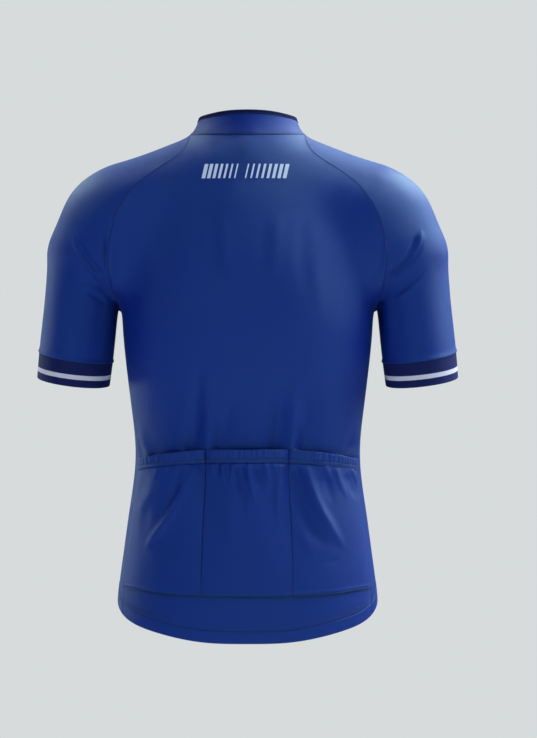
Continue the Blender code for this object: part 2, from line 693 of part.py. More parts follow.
# ---------------------------------------------------------------- sleeves and cuffs
top_angles = np.linspace(COLLAR_FRONT_ANGLE, COLLAR_BACK_ANGLE, SLEEVE_TOP_CELLS + 1)
collar_side = neck_point(top_angles, COLLAR_SEAM_HEIGHT(top_angles))
loop = np.concatenate([collar_side, BACK_RAGLAN[::-1][1:], FRONT_RAGLAN[1:-1]])
loop_station, loop_turn = sleeve_station_turn(loop)
loop_turn = np.unwrap(loop_turn, period=360)
ring_count = len(loop)
even = loop_turn[0] + np.linspace(0, 360, ring_count, endpoint=False)
even = even + np.mean(loop_turn - even)
cuff_middle = sleeve_station_turn(np.array([[CUFF_MARK[0], SLEEVE_LINE_Y, CUFF_MARK[1]]]))[0][0]
cuff_station = (cuff_middle + CUFF_SEAM_MIDDLE + CUFF_SEAM_OUTER * np.cos(np.radians(even))
                + CUFF_SEAM_BACK * np.sin(np.radians(even)))
row_share = np.linspace(0, 1, SLEEVE_ROWS + 1)[:, None]
stations = loop_station * (1 - row_share) + cuff_station * row_share
turns = loop_turn * (1 - row_share) + even * row_share
SLEEVE_GRID = sleeve_point(stations, turns)
SLEEVE_GRID = SLEEVE_GRID + (loop - SLEEVE_GRID[0]) * (1 - row_share[..., None]) ** 3
SLEEVE_NORMALS = outward(SLEEVE_GRID)
cuff_share = np.linspace(0, 1, CUFF_ROWS + 1)[:, None]
cuff_stations = cuff_station + CUFF_HEIGHT * cuff_share
CUFF_GRID = sleeve_point(cuff_stations, even + 0 * cuff_share)
CUFF_NORMALS = outward(CUFF_GRID)
for side, flip in (("right", False), ("left", True)):
    panel("sleeve_" + side, SLEEVE_GRID, SLEEVE_NORMALS, WALL, BLUE, ring=True, mirror=flip)
    panel("cuff_" + side, CUFF_GRID, CUFF_NORMALS, CUFF_WALL, NAVY, ring=True, mirror=flip)

# ---------------------------------------------------------------- collar and its binding
collar_angles_all = np.concatenate([
    -collar_front_angles[::-1], -top_angles[1:-1], collar_angles, top_angles[::-1][1:-1],
    collar_front_angles])
seam_points = np.concatenate([
    collar_front[::-1] * np.array([-1, 1, 1]), collar_side[1:-1] * np.array([-1, 1, 1]), collar_back,
    collar_side[::-1][1:-1], collar_front])
magnitude = np.abs(collar_angles_all)
collar_rows = []
for share in np.linspace(0, 1, COLLAR_ROWS + 1):
    height = COLLAR_SEAM_HEIGHT(magnitude) * (1 - share) + COLLAR_TOP_HEIGHT(magnitude) * share
    row = neck_point(collar_angles_all, height)
    ends = zip_points(ZIP_HALF_WIDTH, height[[-1]])
    row[-1] = ends[0]
    row[0] = ends[0] * np.array([-1, 1, 1])
    collar_rows.append(row)
collar_rows[0] = seam_points
COLLAR_GRID = np.stack(collar_rows)
COLLAR_NORMALS = outward(COLLAR_GRID)
panel("collar", COLLAR_GRID, COLLAR_NORMALS, WALL, BLUE)
binding_rows = []
for share in (0.0, 1.0):
    row = neck_point(collar_angles_all, COLLAR_TOP_HEIGHT(magnitude) + BINDING_HEIGHT * share)
    ends = zip_points(ZIP_HALF_WIDTH, COLLAR_TOP_HEIGHT(magnitude[[-1]]) + BINDING_HEIGHT * share)
    row[-1] = ends[0]
    row[0] = ends[0] * np.array([-1, 1, 1])
    binding_rows.append(row)
BINDING_GRID = np.stack(binding_rows)
panel("collar_binding", BINDING_GRID, outward(BINDING_GRID), BINDING_WALL, NAVY)

# ---------------------------------------------------------------- pockets
first_pocket_row = HEM_ROWS + TAIL_ROWS
last_pocket_row = first_pocket_row + POCKET_ROWS
POCKETS = (
    ("left", 0, BACK_SIDE_CELLS),
    ("middle", BACK_SIDE_CELLS, BACK_SIDE_CELLS + BACK_MIDDLE_CELLS),
    ("right", BACK_SIDE_CELLS + BACK_MIDDLE_CELLS, BACK_COLUMNS - 1),
)


def pocket_lift(first, last, row_from, row_to):
    """How far the inner face of a pocket stands off the back, fullest in the middle of its mouth."""
    across = np.linspace(0, 1, last - first + 1)
    dome = np.sin(np.pi * across) ** POCKET_DOME
    pocket_rows = last_pocket_row + BAND_ROWS - first_pocket_row
    up = (np.arange(row_from, row_to + 1) - first_pocket_row) / pocket_rows
    rise = np.sin(np.pi / 2 * np.clip(up, 0, 1)) ** POCKET_RISE
    return SEAM_GAP + POCKET_BULGE * rise[:, None] * dome[None, :]


for side, first, last in POCKETS:
    for label, row_from, row_to in (("pocket_" + side, first_pocket_row, last_pocket_row),
                                    ("pocket_band_" + side, last_pocket_row, last_pocket_row + BAND_ROWS)):
        part = (slice(row_from, row_to + 1), slice(first, last + 1))
        normals = BACK_NORMALS[part]
        raised = inset(BACK_GRID[part], normals, SEAM_GAP / 2 + DIVIDER_GAP)
        lift = pocket_lift(first, last, row_from, row_to)
        inner = raised + normals * lift[..., None]
        outer = inner + normals * WALL
        points, faces = grid_shell(outer, inner)
        add_object(label, points, faces, BLUE)

# ---------------------------------------------------------------- front zip: tape and chain
collar_levels = np.array([float(COLLAR_SEAM_HEIGHT(180.0)) * (1 - s) + float(COLLAR_TOP_HEIGHT(180.0)) * s
                          for s in np.linspace(0, 1, COLLAR_ROWS + 1)[1:]])
zip_top = float(COLLAR_TOP_HEIGHT(180.0)) + BINDING_HEIGHT
TAPE_LEVELS = np.concatenate([ZIP_LEVELS, collar_levels, [zip_top - TAPE_SHORT]])
tape_grid = np.stack([zip_points(x, TAPE_LEVELS) for x in (ZIP_HALF_WIDTH, 0.0, -ZIP_HALF_WIDTH)], 1)
tape_normals = outward(tape_grid)
panel("zip_tape", tape_grid, tape_normals, TAPE_WALL, BLUE)

chain_base = np.stack([zip_points(x, TAPE_LEVELS[:-1]) for x in (CHAIN_HALF_WIDTH, 0, -CHAIN_HALF_WIDTH)], 1)
chain_base[0, :, 2] += CHAIN_START
chain_normals = outward(chain_base)
chain_inner = chain_base + chain_normals * SEAM_GAP
chain_outer = chain_inner + chain_normals * CHAIN_THICKNESS
chain_points, chain_faces = grid_shell(chain_outer, chain_inner)
add_object("zip_chain", chain_points, chain_faces, COIL)

# ---------------------------------------------------------------- front zip: slider and pull tab
slider_level = float(COLLAR_TOP_HEIGHT(180.0)) + BINDING_HEIGHT - SLIDER_DROP
seat = zip_points(0.0, np.array([slider_level - 5, slider_level, slider_level + 5]))
zip_up = seat[2] - seat[0]
zip_up /= np.linalg.norm(zip_up)
zip_across = np.array([1.0, 0.0, 0.0])
zip_out = np.cross(zip_up, zip_across)
zip_out *= np.sign(zip_out[1])
SLIDER_SEAT = seat[1] + zip_out * (SEAM_GAP + CHAIN_THICKNESS + SLIDER_CLEARANCE)
PIN_CENTRE = SLIDER_SEAT + zip_out * (SLIDER_BASE[2] + PIN_RISE)


def prism_across(name, outline, width):
    """Outline in (up, out) around the pin, pulled across the zip by the width."""
    outline = np.asarray(outline, float)
    count = len(outline)
    flat = PIN_CENTRE + outline[:, :1] * zip_up + outline[:, 1:] * zip_out
    points = np.concatenate([flat - zip_across * width / 2, flat + zip_across * width / 2])
    forward = np.arange(count)
    after = (forward + 1) % count
    sides = np.stack([forward, after, after + count, forward + count], -1)
    faces = [tuple(forward[::-1])] + [tuple(forward + count)] + [tuple(f) for f in sides]
    return add_object(name, points, faces, METAL)


def arc(centre, radius, first, last, count):
    """Points on a circle in (up, out), in degrees from straight up."""
    turn = np.radians(np.linspace(first, last, count))
    return np.stack([centre[0] + radius * np.cos(turn), centre[1] + radius * np.sin(turn)], -1)


def circle(radius, start=0.0):
    """Closed round outline about the pin, from a first angle."""
    return arc((0, 0), radius, start, start + 360 - 360 / ROUND_SIDES, ROUND_SIDES)


def shift_across(made, amount):
    """Mesh moved sideways across the zip."""
    for vertex in made.data.vertices:
        vertex.co.x += amount * MM


def combine(target, tool, kind):
    """Exact union or difference of two closed meshes; the tool is then removed."""
    step = target.modifiers.new("combine", "BOOLEAN")
    step.operation = kind
    step.solver = "EXACT"
    step.object = tool
    graph = bpy.context.evaluated_depsgraph_get()
    result = bpy.data.meshes.new_from_object(target.evaluated_get(graph))
    target.modifiers.clear()
    target.data = result
    bpy.data.objects.remove(tool, do_unlink=True)


def orient(made):
    """Faces turned outward by the sign of the enclosed volume."""
    mesh = made.data
    volume = 0.0
    for polygon in mesh.polygons:
        corner = [mesh.vertices[i].co for i in polygon.vertices]
        for k in range(1, len(corner) - 1):
            volume += corner[0].dot(corner[k].cross(corner[k + 1]))
    if volume < 0:
        mesh.flip_normals()


base_top = -PIN_RISE
base_low = base_top - SLIDER_BASE[2]
half_long = SLIDER_BASE[1] / 2
bevel_up, bevel_out = BASE_BEVEL
base_outline = [
    (-half_long, base_low), (half_long, base_low), (half_long, base_top - bevel_out),
    (half_long - bevel_up, base_top), (-half_long + bevel_up, base_top), (-half_long, base_top - bevel_out)]
slider = prism_across("zip_slider", base_outline, SLIDER_BASE[0])
lug_foot = base_top - LUG_SUNK
lug_outline = [(-LUG_FOOT, lug_foot), (LUG_FOOT, lug_foot), *arc((0, 0), LUG_RADIUS, 0, 180, 9)]
for across in (-1, 1):
    lug = prism_across("lug", lug_outline, LUG_THICKNESS)
    shift_across(lug, across * (LUG_SPACING + LUG_THICKNESS) / 2)
    orient(lug)
    orient(slider)
    combine(slider, lug, "UNION")
pin = prism_across("pin", circle(PIN_RADIUS), LUG_SPACING + LUG_THICKNESS)
orient(pin)
combine(slider, pin, "UNION")

pull = prism_across("zip_pull", circle(EYE_RADIUS), EYE_WIDTH)
plate_low = -EYE_RADIUS / 2
neck_outline = [(-NECK_LOW, plate_low), (-NECK_LOW, NECK_LOW_OUT), (-NECK_HIGH, NECK_HALF_HIGH),
                (-NECK_HIGH, -NECK_HALF_HIGH)]
neck = prism_across("neck", neck_outline, EYE_WIDTH - NECK_SIDE)
right_side = [(-PLATE_TOP, -TAB_WIDTH / 2)]
right_side += [(up - TAB_LENGTH, inward - TAB_WIDTH / 2) for up, inward in PLATE_CORNER]
plate_flat = np.array(right_side + [(up, -across) for up, across in right_side[::-1]])
plate_base = PIN_CENTRE + plate_flat[:, :1] * zip_up + plate_flat[:, 1:] * zip_across
plate_high = plate_low + TAB_THICKNESS
plate_points = np.concatenate([plate_base + zip_out * plate_low, plate_base + zip_out * plate_high])
n_plate = len(plate_flat)
plate_sides = [(i, (i + 1) % n_plate, (i + 1) % n_plate + n_plate, i + n_plate) for i in range(n_plate)]
plate_faces = [tuple(range(n_plate))[::-1], tuple(range(n_plate, 2 * n_plate))] + plate_sides
plate = add_object("plate", plate_points, plate_faces, METAL)
bore = prism_across("bore", circle(EYE_BORE, 180 / ROUND_SIDES), EYE_WIDTH + TAB_THICKNESS)
for piece in (pull, neck, plate, bore):
    orient(piece)
combine(pull, neck, "UNION")
combine(pull, plate, "UNION")
combine(pull, bore, "DIFFERENCE")
for made in (slider, pull):
    made.data.name = made.name
    orient(made)
hinge = PIN_CENTRE * MM
for vertex in pull.data.vertices:
    vertex.co -= Vector(hinge)
pull.location = hinge
for mesh in list(bpy.data.meshes):
    if mesh.users == 0:
        bpy.data.meshes.remove(mesh)
for spare in list(bpy.data.materials):
    if spare.users == 0:
        bpy.data.materials.remove(spare)
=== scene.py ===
"""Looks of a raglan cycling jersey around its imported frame. Tables are in mm, finished meshes in metres."""
import bpy
import numpy as np
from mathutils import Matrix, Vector


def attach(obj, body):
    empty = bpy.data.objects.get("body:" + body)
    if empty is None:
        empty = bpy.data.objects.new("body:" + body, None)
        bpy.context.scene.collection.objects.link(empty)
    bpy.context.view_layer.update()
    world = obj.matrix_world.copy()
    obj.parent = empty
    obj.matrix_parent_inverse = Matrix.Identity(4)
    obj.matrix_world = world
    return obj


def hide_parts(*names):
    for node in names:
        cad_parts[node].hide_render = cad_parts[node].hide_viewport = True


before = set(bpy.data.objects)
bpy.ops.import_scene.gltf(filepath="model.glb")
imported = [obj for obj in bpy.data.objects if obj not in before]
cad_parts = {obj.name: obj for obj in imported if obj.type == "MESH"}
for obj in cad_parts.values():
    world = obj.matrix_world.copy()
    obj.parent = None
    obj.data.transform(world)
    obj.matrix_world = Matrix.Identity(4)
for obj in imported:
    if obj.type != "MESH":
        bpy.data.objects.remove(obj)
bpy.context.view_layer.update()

# ================================================================ back panel
# One cut of plain double-knit polyester from collar to dropped tail, worn close over a general figure.
# Its edges are turned in and sewn flat; the tail has a folded hem.
MM = 0.001
KNIT_WALL = 1.0
HEM_WALL = 2.2
SEAM_GAP = 0.3
GRID_STEP = 2.6
EDGE_STEPS = np.array([0.0, 0.12, 0.35, 0.8, 1.5, 2.6])
FINE_STEP = 0.75
STITCH_GROOVE = 0.85
STITCH_HALF_GROOVE = 0.8
HEM_ROWS = (17.0, 22.8)
HEM_RISE = 0.45
HEM_STEP = (23.2, 25.0)
# Share of the base colour taken away at full painted shade, in stitch grooves and under pocket and band edges
PAINTED_SHADE_DEPTH = 0.72
CREASES_FADE = (0.02, 0.40)
MIRROR = np.array([-1, 1, 1])
SIDES = (("right", np.array([1, 1, 1])), ("left", MIRROR))
ALL_EDGES = ("bottom", "top", "left", "right")

# Figure under the cloth. Height, half width, back, front, squareness of each level section.
TRUNK = (
    (-720, 173.0, 108, 96, 2.30), (-660, 173.5, 109, 98, 2.30), (-610, 172.0, 110, 101, 2.32),
    (-560, 166.0, 106, 104, 2.35), (-500, 158.0, 95, 105, 2.40), (-425, 150.0, 83, 106, 2.40),
    (-360, 155.5, 92, 111, 2.40), (-300, 162.5, 106, 116, 2.40), (-235, 167.0, 117, 118, 2.40),
    (-170, 162.0, 119, 110, 2.30), (-110, 148.0, 109, 93, 2.20), (-60, 118.0, 90, 68, 2.10),
    (-20, 66.0, 58, 40, 2.00), (40, 20.0, 20, 20, 2.00),
)
# Height, half width, back, front of the neck
NECK = (
    (-80, 92.0, 70.0, 66.0), (-48, 84.5, 67.5, 65.5), (-20, 78.5, 65.5, 64.5), (0, 72.8, 63.5, 63.0),
    (13, 68.2, 62.0, 62.0), (24, 65.0, 60.5, 61.0), (60, 61.0, 58.0, 60.0),
)
NECK_LEAN = 0.12
# Rounded bars along the yoke and down the arm: x, y, z, radius; then their depth factors
YOKE = ((0, -14, -44, 64), (75, -11, -71, 65), (150, -8, -99, 62))
YOKE_DEPTH = 1.12
ARM = ((215, -4, -165, 51.3), (221.3, -3.7, -225, 49.3), (227.7, -3.3, -285, 49.5), (234, -3, -345, 47.8))
ARM_DEPTH = 1.04
SHOULDER_CENTRE = (157, -5, -131)
SHOULDER_RADII = (92.5, 75, 86)
SHOULDER_POWER = 2.3
BLEND_YOKE = 34.0
BLEND_SHOULDER = 34.0
BLEND_NECK = 22.0
BLEND_ARM_LOW = 7.0
BLEND_ARM_HIGH = 40.0
BLEND_ARM_FROM = -236.0
# How far out the body reaches beside the underarm fold: height, x
BODY_FENCE = ((-236, 173), (-226, 175), (-212, 181), (-200, 186), (-160, 192), (-130, 210), (-90, 300))
# Core of the torso that its lines start from
FOCUS = 80.0
RAY_X = 160.0
RAY_Y = 110.0
PIVOT_HEIGHT = -170.0
PIVOT_REACH = 150.0

# Collar seam and collar top: angle round from the middle of the back, seam height, top height
COLLAR = (
    (0, -5, 25.5), (30, -4, 24.5), (60, -1.5, 21.5), (90, -1, 19.0),
    (115, -10, 11.5), (140, -27, -2.0), (162, -41, -13.0), (180, -46, -16.5),
)
COLLAR_BACK_ANGLE = 76.0
COLLAR_FRONT_ANGLE = 124.0
# Back raglan seam from the collar to the underarm: x, z
RAGLAN_BACK = (
    (78.5, -13.5), (86.0, -26.5), (102.4, -38.8), (122.3, -51.8), (141.9, -67.0), (155.0, -81.8),
    (164.8, -97.4), (172.4, -113.8), (176.7, -130.1), (180.6, -149.3), (182.0, -166.0),
    (180.8, -184.6), (178.6, -202.0),
)
# Side seam: height, angle round from the middle of the back
SIDE_SEAM = (
    (-232, 92.0), (-300, 88.5), (-350, 84.5), (-392, 78.5),
    (-430, 73.0), (-475, 71.2), (-560, 70.0), (-660, 68.5),
)
# Lines round the body: angle, hem, hem stitching, pocket bottom, band bottom, band top
LEVELS = (
    (0, -665.5, -646.0, -604.5, -433.0, -414.5), (20, -664.0, -644.6, -604.2, -433.2, -414.8),
    (45, -652.5, -633.5, -601.5, -438.0, -420.5), (62, -640.5, -622.0, -598.5, -443.0, -427.0),
    (75, -627.0, -608.5, -595.5, -446.0, -430.0), (90, -612.0, -593.0, -580.0, -446.0, -430.0),
    (115, -600.5, -581.5, -570.0, -446.0, -430.0), (150, -597.0, -578.0, -566.0, -446.0, -430.0),
    (180, -597.0, -578.0, -566.0, -446.0, -430.0),
)
HEM, HEM_STITCH, POCKET_BOTTOM, BAND_BOTTOM, BAND_TOP = range(5)

# Soft ridges (+) and troughs (-) of the worn cloth, seen square on:
# start x, z, middle x, z, end x, z, half width, height, share of its length to rise over, share to fall over
BACK_CREASES = (
    (-91, -95, -81, -144, -72, -225, 11, 1.2, 0.35, 0.5),
    (-110, -130, -104, -180, -98, -240, 12, -0.7, 0.4, 0.5),
    (-48, -83, -44, -138, -38, -215, 10, -1.1, 0.4, 0.5),
    (-32, -105, -28, -160, -20, -235, 9, 1.1, 0.4, 0.5),
    (24, -104, 21, -157, 16, -225, 10, -1.0, 0.4, 0.5),
    (42, -104, 37, -151, 28, -220, 9, 0.9, 0.4, 0.5),
    (73, -108, 73, -164, 77, -235, 11, -1.2, 0.4, 0.5),
    (88, -150, 92, -202, 96, -260, 12, 0.9, 0.4, 0.5),
    (-62, -290, -67, -357, -74, -418, 10, -6.2, 0.75, 0.02),
    (-53, -295, -50, -363, -49, -418, 8, 4.2, 0.7, 0.02),
    (-20, -340, -26, -376, -41, -418, 10, -3.4, 0.7, 0.02),
    (47, -305, 42, -363, 36, -418, 10, -6.2, 0.75, 0.02),
    (61, -295, 61, -363, 57, -418, 7, 4.4, 0.7, 0.02),
    (80, -340, 77, -383, 70, -418, 8, -3.4, 0.75, 0.02),
    (10, -350, 8, -385, 6, -418, 12, 0.8, 0.6, 0.1),
    (-104, -350, -100, -390, -96, -420, 14, 0.8, 0.6, 0.1),
    (108, -340, 104, -385, 100, -420, 14, 0.8, 0.6, 0.1),
    (-143, -375, -137, -402, -128, -427, 6, 2.6, 0.6, 0.1),
    (-147, -405, -141, -419, -134, -430, 6, -2.6, 0.6, 0.1),
    (141, -385, 135, -410, 129, -429, 7, -2.8, 0.6, 0.1),
    (150, -375, 145, -405, 139, -430, 6, 2.0, 0.6, 0.1),
    (-230, -130, -216, -164, -188, -196, 3.0, 2.6, 0.35, 0.2),
    (-224, -138, -209, -166, -188, -189, 4.2, -3.1, 0.35, 0.2),
    (-222, -207, -202, -205, -184, -224, 4.5, 2.3, 0.4, 0.3),
    (-216, -214, -200, -214, -186, -230, 4.0, -1.6, 0.4, 0.3),
    (-183, -134, -183, -154, -185, -180, 2.2, 1.6, 0.4, 0.3),
    (-189, -136, -188, -156, -187, -184, 2.4, -1.7, 0.4, 0.3),
    (-178, -150, -178, -172, -176, -194, 2.2, -1.7, 0.4, 0.3),
    (-173, -158, -172, -176, -171, -200, 3.0, 1.2, 0.4, 0.3),
    (222, -132, 213, -163, 182, -192, 3.6, -4.3, 0.25, 0.15),
    (228, -126, 222, -150, 205, -178, 3.6, 2.5, 0.25, 0.5),
    (231, -136, 219, -165, 192, -187, 2.4, -1.6, 0.3, 0.3),
    (237, -174, 215, -199, 184, -217, 2.6, -2.0, 0.5, 0.2),
    (234, -182, 214, -206, 188, -222, 4.5, 1.6, 0.5, 0.2),
    (179, -138, 180, -164, 178, -192, 2.2, 1.4, 0.4, 0.3),
    (174, -150, 173, -176, 168, -208, 3.4, -2.2, 0.4, 0.3),
)


def natural_spline(knots, values):
    """Natural cubic curve through the values at the knots; constant beyond both ends."""
    knots = np.asarray(knots, float)
    values = np.asarray(values, float)
    count = len(knots)
    step = np.diff(knots)
    matrix = np.eye(count)
    right = np.zeros((count,) + values.shape[1:])
    slope = np.diff(values, axis=0) / step.reshape((-1,) + (1,) * (values.ndim - 1))
    for i in range(1, count - 1):
        matrix[i, i - 1:i + 2] = step[i - 1], 2 * (step[i - 1] + step[i]), step[i]
        right[i] = 6 * (slope[i] - slope[i - 1])
    bend = np.linalg.solve(matrix, right)

    def curve(at):
        """Value of the cubic between the two knots on either side."""
        at = np.clip(np.asarray(at, float), knots[0], knots[-1])
        i = np.clip(np.searchsorted(knots, at) - 1, 0, count - 2)
        shape = at.shape + (1,) * (values.ndim - 1)
        before = (knots[i + 1] - at).reshape(shape)
        after = (at - knots[i]).reshape(shape)
        h = step[i].reshape(shape)
        cubic = (bend[i] * before ** 3 + bend[i + 1] * after ** 3) / (6 * h)
        low = (values[i] / h - bend[i] * h / 6) * before
        return cubic + low + (values[i + 1] / h - bend[i + 1] * h / 6) * after

    return curve


def column_curves(table):
    """One spline for each column of a table, against its first column."""
    rows = np.array(table, float)
    rows = rows[np.argsort(rows[:, 0])]
    return [natural_spline(rows[:, 0], rows[:, k]) for k in range(1, rows.shape[1])]


def fast_lookup(curves, low, high):
    """The same curves read from close, evenly spaced values between two heights."""
    at = np.linspace(low, high, 4001)
    values = [curve(at) for curve in curves]
    return lambda z: [np.interp(z, at, value) for value in values]


TRUNK_AT = fast_lookup(column_curves(TRUNK), -720, 40)
NECK_AT = fast_lookup(column_curves(NECK), -80, 60)


def smooth_min(a, b, reach):
    """Smaller of two distances, rounded where they differ by less than the reach."""
    h = np.maximum(reach - np.abs(a - b), 0) / reach
    return np.minimum(a, b) - h ** 3 * reach / 6


def rounded_bar(x, y, z, stations, depth):
    """Distance outside a bar with a smoothly changing radius between its first and last station."""
    stations = np.array(stations, float)
    start = stations[0, :3]
    line = stations[-1, :3] - start
    along = ((x - start[0]) * line[0] + (y - start[1]) * line[1] + (z - start[2]) * line[2]) / (line @ line)
    along = np.clip(along, 0, 1)
    share = np.linspace(0, 1, 401)
    radius = np.interp(along, share, natural_spline(np.linspace(0, 1, len(stations)), stations[:, 3])(share))
    away_x = x - start[0] - along * line[0]
    away_y = (y - start[1] - along * line[1]) / depth
    away_z = z - start[2] - along * line[2]
    return np.sqrt(away_x ** 2 + away_y ** 2 + away_z ** 2 + 1e-9) - radius


def form(points):
    """Smooth union of trunk, shoulders, arms and neck; negative inside."""
    x, y, z = np.abs(points[..., 0]), points[..., 1], points[..., 2]
    half, back, front, power = TRUNK_AT(z)
    middle = (front - back) / 2
    deep = (front + back) / 2
    rho = ((x / half) ** power + (np.abs(y - middle) / deep) ** power + 1e-12) ** (1 / power)
    body = (rho - 1) * np.minimum(half, deep)
    body = smooth_min(body, rounded_bar(x, y, z, YOKE, YOKE_DEPTH), BLEND_YOKE)
    ball = 1e-12
    for value, centre, radius in zip((x, y, z), SHOULDER_CENTRE, SHOULDER_RADII):
        ball = ball + np.abs((value - centre) / radius) ** SHOULDER_POWER
    ball = (ball ** (1 / SHOULDER_POWER) - 1) * min(SHOULDER_RADII)
    body = smooth_min(body, ball, BLEND_SHOULDER)
    rise = np.clip((z - BLEND_ARM_FROM) / 100, 0, 1)
    reach = BLEND_ARM_LOW + (BLEND_ARM_HIGH - BLEND_ARM_LOW) * rise ** 2 * (3 - 2 * rise)
    body = smooth_min(body, rounded_bar(x, y, z, ARM, ARM_DEPTH), reach)
    half, back, front = NECK_AT(z)
    middle = (front - back) / 2 + NECK_LEAN * np.maximum(z, -60)
    deep = (front + back) / 2
    neck = np.sqrt((x / half) ** 2 + ((y - middle) / deep) ** 2 + 1e-12)
    neck = (neck - 1) * np.minimum(half, deep)
    return smooth_min(body, neck, BLEND_NECK)


def outward(points):
    """Unit normals of the form, from central differences."""
    points = np.asarray(points, float)
    slope = np.zeros(points.shape)
    for axis in range(3):
        nudge = np.zeros(3)
        nudge[axis] = 0.6
        slope[..., axis] = form(points + nudge) - form(points - nudge)
    return slope / np.linalg.norm(slope, axis=-1, keepdims=True)


def first_exit(start, direction, reach, inside=form):
    """Where each line from inside the form first leaves it: marched in 4 mm steps, then halved."""
    start, direction = np.broadcast_arrays(np.asarray(start, float), np.asarray(direction, float))
    shape = start.shape
    start = start.reshape(-1, 3)
    direction = direction.reshape(-1, 3)
    step = 4.0
    far = np.full(len(start), float(reach))
    waiting = np.arange(len(start))
    for k in range(1, int(reach / step) + 1):
        outside = inside(start[waiting] + k * step * direction[waiting]) > 0
        far[waiting[outside]] = k * step
        waiting = waiting[~outside]
        if not len(waiting):
            break
    near = far - step
    for _ in range(13):
        mid = (near + far) / 2
        outside = inside(start + mid[:, None] * direction) > 0
        far = np.where(outside, mid, far)
        near = np.where(outside, near, mid)
    return (start + ((near + far) / 2)[:, None] * direction).reshape(shape)


def settle(points):
    """Points moved along the slope of the form until they lie on it."""
    for _ in range(4):
        normal = outward(points)
        rate = (form(points + 0.3 * normal) - form(points - 0.3 * normal)) / 0.6
        points = points - (form(points) / np.maximum(rate, 0.2))[..., None] * normal
    return points


def body_form(points):
    """The form as the body panels see it, cut off where the sleeve begins."""
    fence = np.interp(points[..., 2], *np.array(BODY_FENCE, float).T)
    return np.maximum(form(points), np.abs(points[..., 0]) - fence)


def torso_point(angle, level):
    """Point of the form at an angle (degrees from mid-back) and level; lines tilt up above the pivot."""
    angle = np.radians(np.asarray(angle, float))
    level = np.asarray(level, float) + 0 * angle
    tilt = np.maximum(level - PIVOT_HEIGHT, 0) / PIVOT_REACH
    focus = FOCUS * np.cos(tilt)
    start = np.stack([focus * np.sin(angle), 0 * angle, np.minimum(level, PIVOT_HEIGHT)], -1)
    flat = np.stack([(RAY_X - focus) * np.sin(angle), -RAY_Y * np.cos(angle)], -1)
    flat = flat / np.linalg.norm(flat, axis=-1, keepdims=True)
    direction = np.concatenate([flat * np.cos(tilt)[..., None], np.sin(tilt)[..., None]], -1)
    return first_exit(start, direction, 330.0, body_form)


def torso_angle_level(points):
    """Pair of angle and level of the torso line through each point, by repeated halving."""
    x, y, z = np.abs(points[..., 0]), points[..., 1], points[..., 2]
    tilt = np.zeros(x.shape)
    for _ in range(40):
        focus = FOCUS * np.cos(tilt)
        low = np.where(y < 0, 0.0, np.pi / 2)
        high = low + np.pi / 2
        for _ in range(40):
            mid = (low + high) / 2
            side = (x * RAY_Y * np.cos(mid) + y * (RAY_X - focus) * np.sin(mid)
                    - focus * RAY_Y * np.sin(mid) * np.cos(mid))
            low = np.where(side > 0, mid, low)
            high = np.where(side > 0, high, mid)
        run = np.hypot(x - focus * np.sin(mid), y)
        tilt = np.maximum(np.arctan2(z - PIVOT_HEIGHT, run), 0)
    level = np.where(z > PIVOT_HEIGHT, PIVOT_HEIGHT + tilt * PIVOT_REACH, z)
    return np.stack([np.degrees(mid) * np.sign(points[..., 0] + 1e-9), level], -1)


def neck_point(angle, height):
    """Point of the form on a level line from the neck's core."""
    turn = np.radians(np.asarray(angle, float))
    height = np.asarray(height, float) + 0 * turn
    start = np.stack([0 * turn, 0 * turn + 2.0, height], -1)
    direction = np.stack([np.sin(turn), -np.cos(turn), 0 * turn], -1)
    return first_exit(start, direction, 160.0)


def run_along(points):
    """Length from the first point to each one, along a line or down each column of a grid."""
    steps = np.linalg.norm(np.diff(points, axis=0), axis=-1)
    return np.concatenate([0 * steps[:1], np.cumsum(steps, 0)])


def along_curve(points, shares):
    """Points of a curve at shares of its length, by a spline through its given points."""
    length = run_along(points)
    return natural_spline(length / length[-1], points)(np.asarray(shares, float))


def facing_point(x, z, side):
    """Point of the form straight in from the front (+1) or the back (-1)."""
    x, z = np.broadcast_arrays(np.asarray(x, float), np.asarray(z, float))
    start = np.stack([x, 0 * x - 4.0, z], -1)
    return first_exit(start, np.array([0.0, float(side), 0.0]), 170.0)


def underarm_fold(depth):
    """Lowest point of the cloth between arm and body at one depth, where the two sides meet."""
    across = np.linspace(164.0, 196.0, 161)
    low, high = -262.0, -150.0
    for _ in range(30):
        mid = (low + high) / 2
        gap = form(np.stack([across, 0 * across + depth, 0 * across + mid], -1))
        low, high = (mid, high) if gap.max() > 0 else (low, mid)
    return np.array([across[np.argmax(gap)], depth, mid])


def raglan_curve(table, fold, collar_angle, side, shares):
    """Raglan seam from the underarm up to the collar, a smooth curve settled on the form."""
    rows = np.array(table, float)
    between = facing_point(rows[:, 0], rows[:, 1], side)
    top = neck_point(collar_angle, COLLAR_SEAM_HEIGHT(collar_angle))
    knots = np.concatenate([[top], between, fold, [UNDERARM]])[::-1]
    points = settle(along_curve(knots, shares))
    points[0] = UNDERARM
    points[-1] = top
    return points


def close_set(length, low=True, high=True, step=GRID_STEP):
    """Shares from 0 to 1 along a length: even inside, close together beside the ends that are edges."""
    ends = EDGE_STEPS / length
    start = ends[-1] if low else 0.0
    stop = 1 - ends[-1] if high else 1.0
    middle = np.linspace(start, stop, max(2, int(round(length * (stop - start) / step)) + 1))
    parts = [ends[:-1]] if low else []
    parts.append(middle)
    if high:
        parts.append(1 - ends[:-1][::-1])
    return np.concatenate(parts)


def filled(bottom, top, left, right, across, up):
    """Grid filled between four boundary curves whose corners meet (a Coons patch)."""
    across = across[None, :, None]
    up = up[:, None, None]
    ruled = (1 - up) * bottom[None] + up * top[None] + (1 - across) * left[:, None] + across * right[:, None]
    corners = ((1 - up) * ((1 - across) * bottom[0] + across * bottom[-1])
               + up * ((1 - across) * top[0] + across * top[-1]))
    return ruled - corners


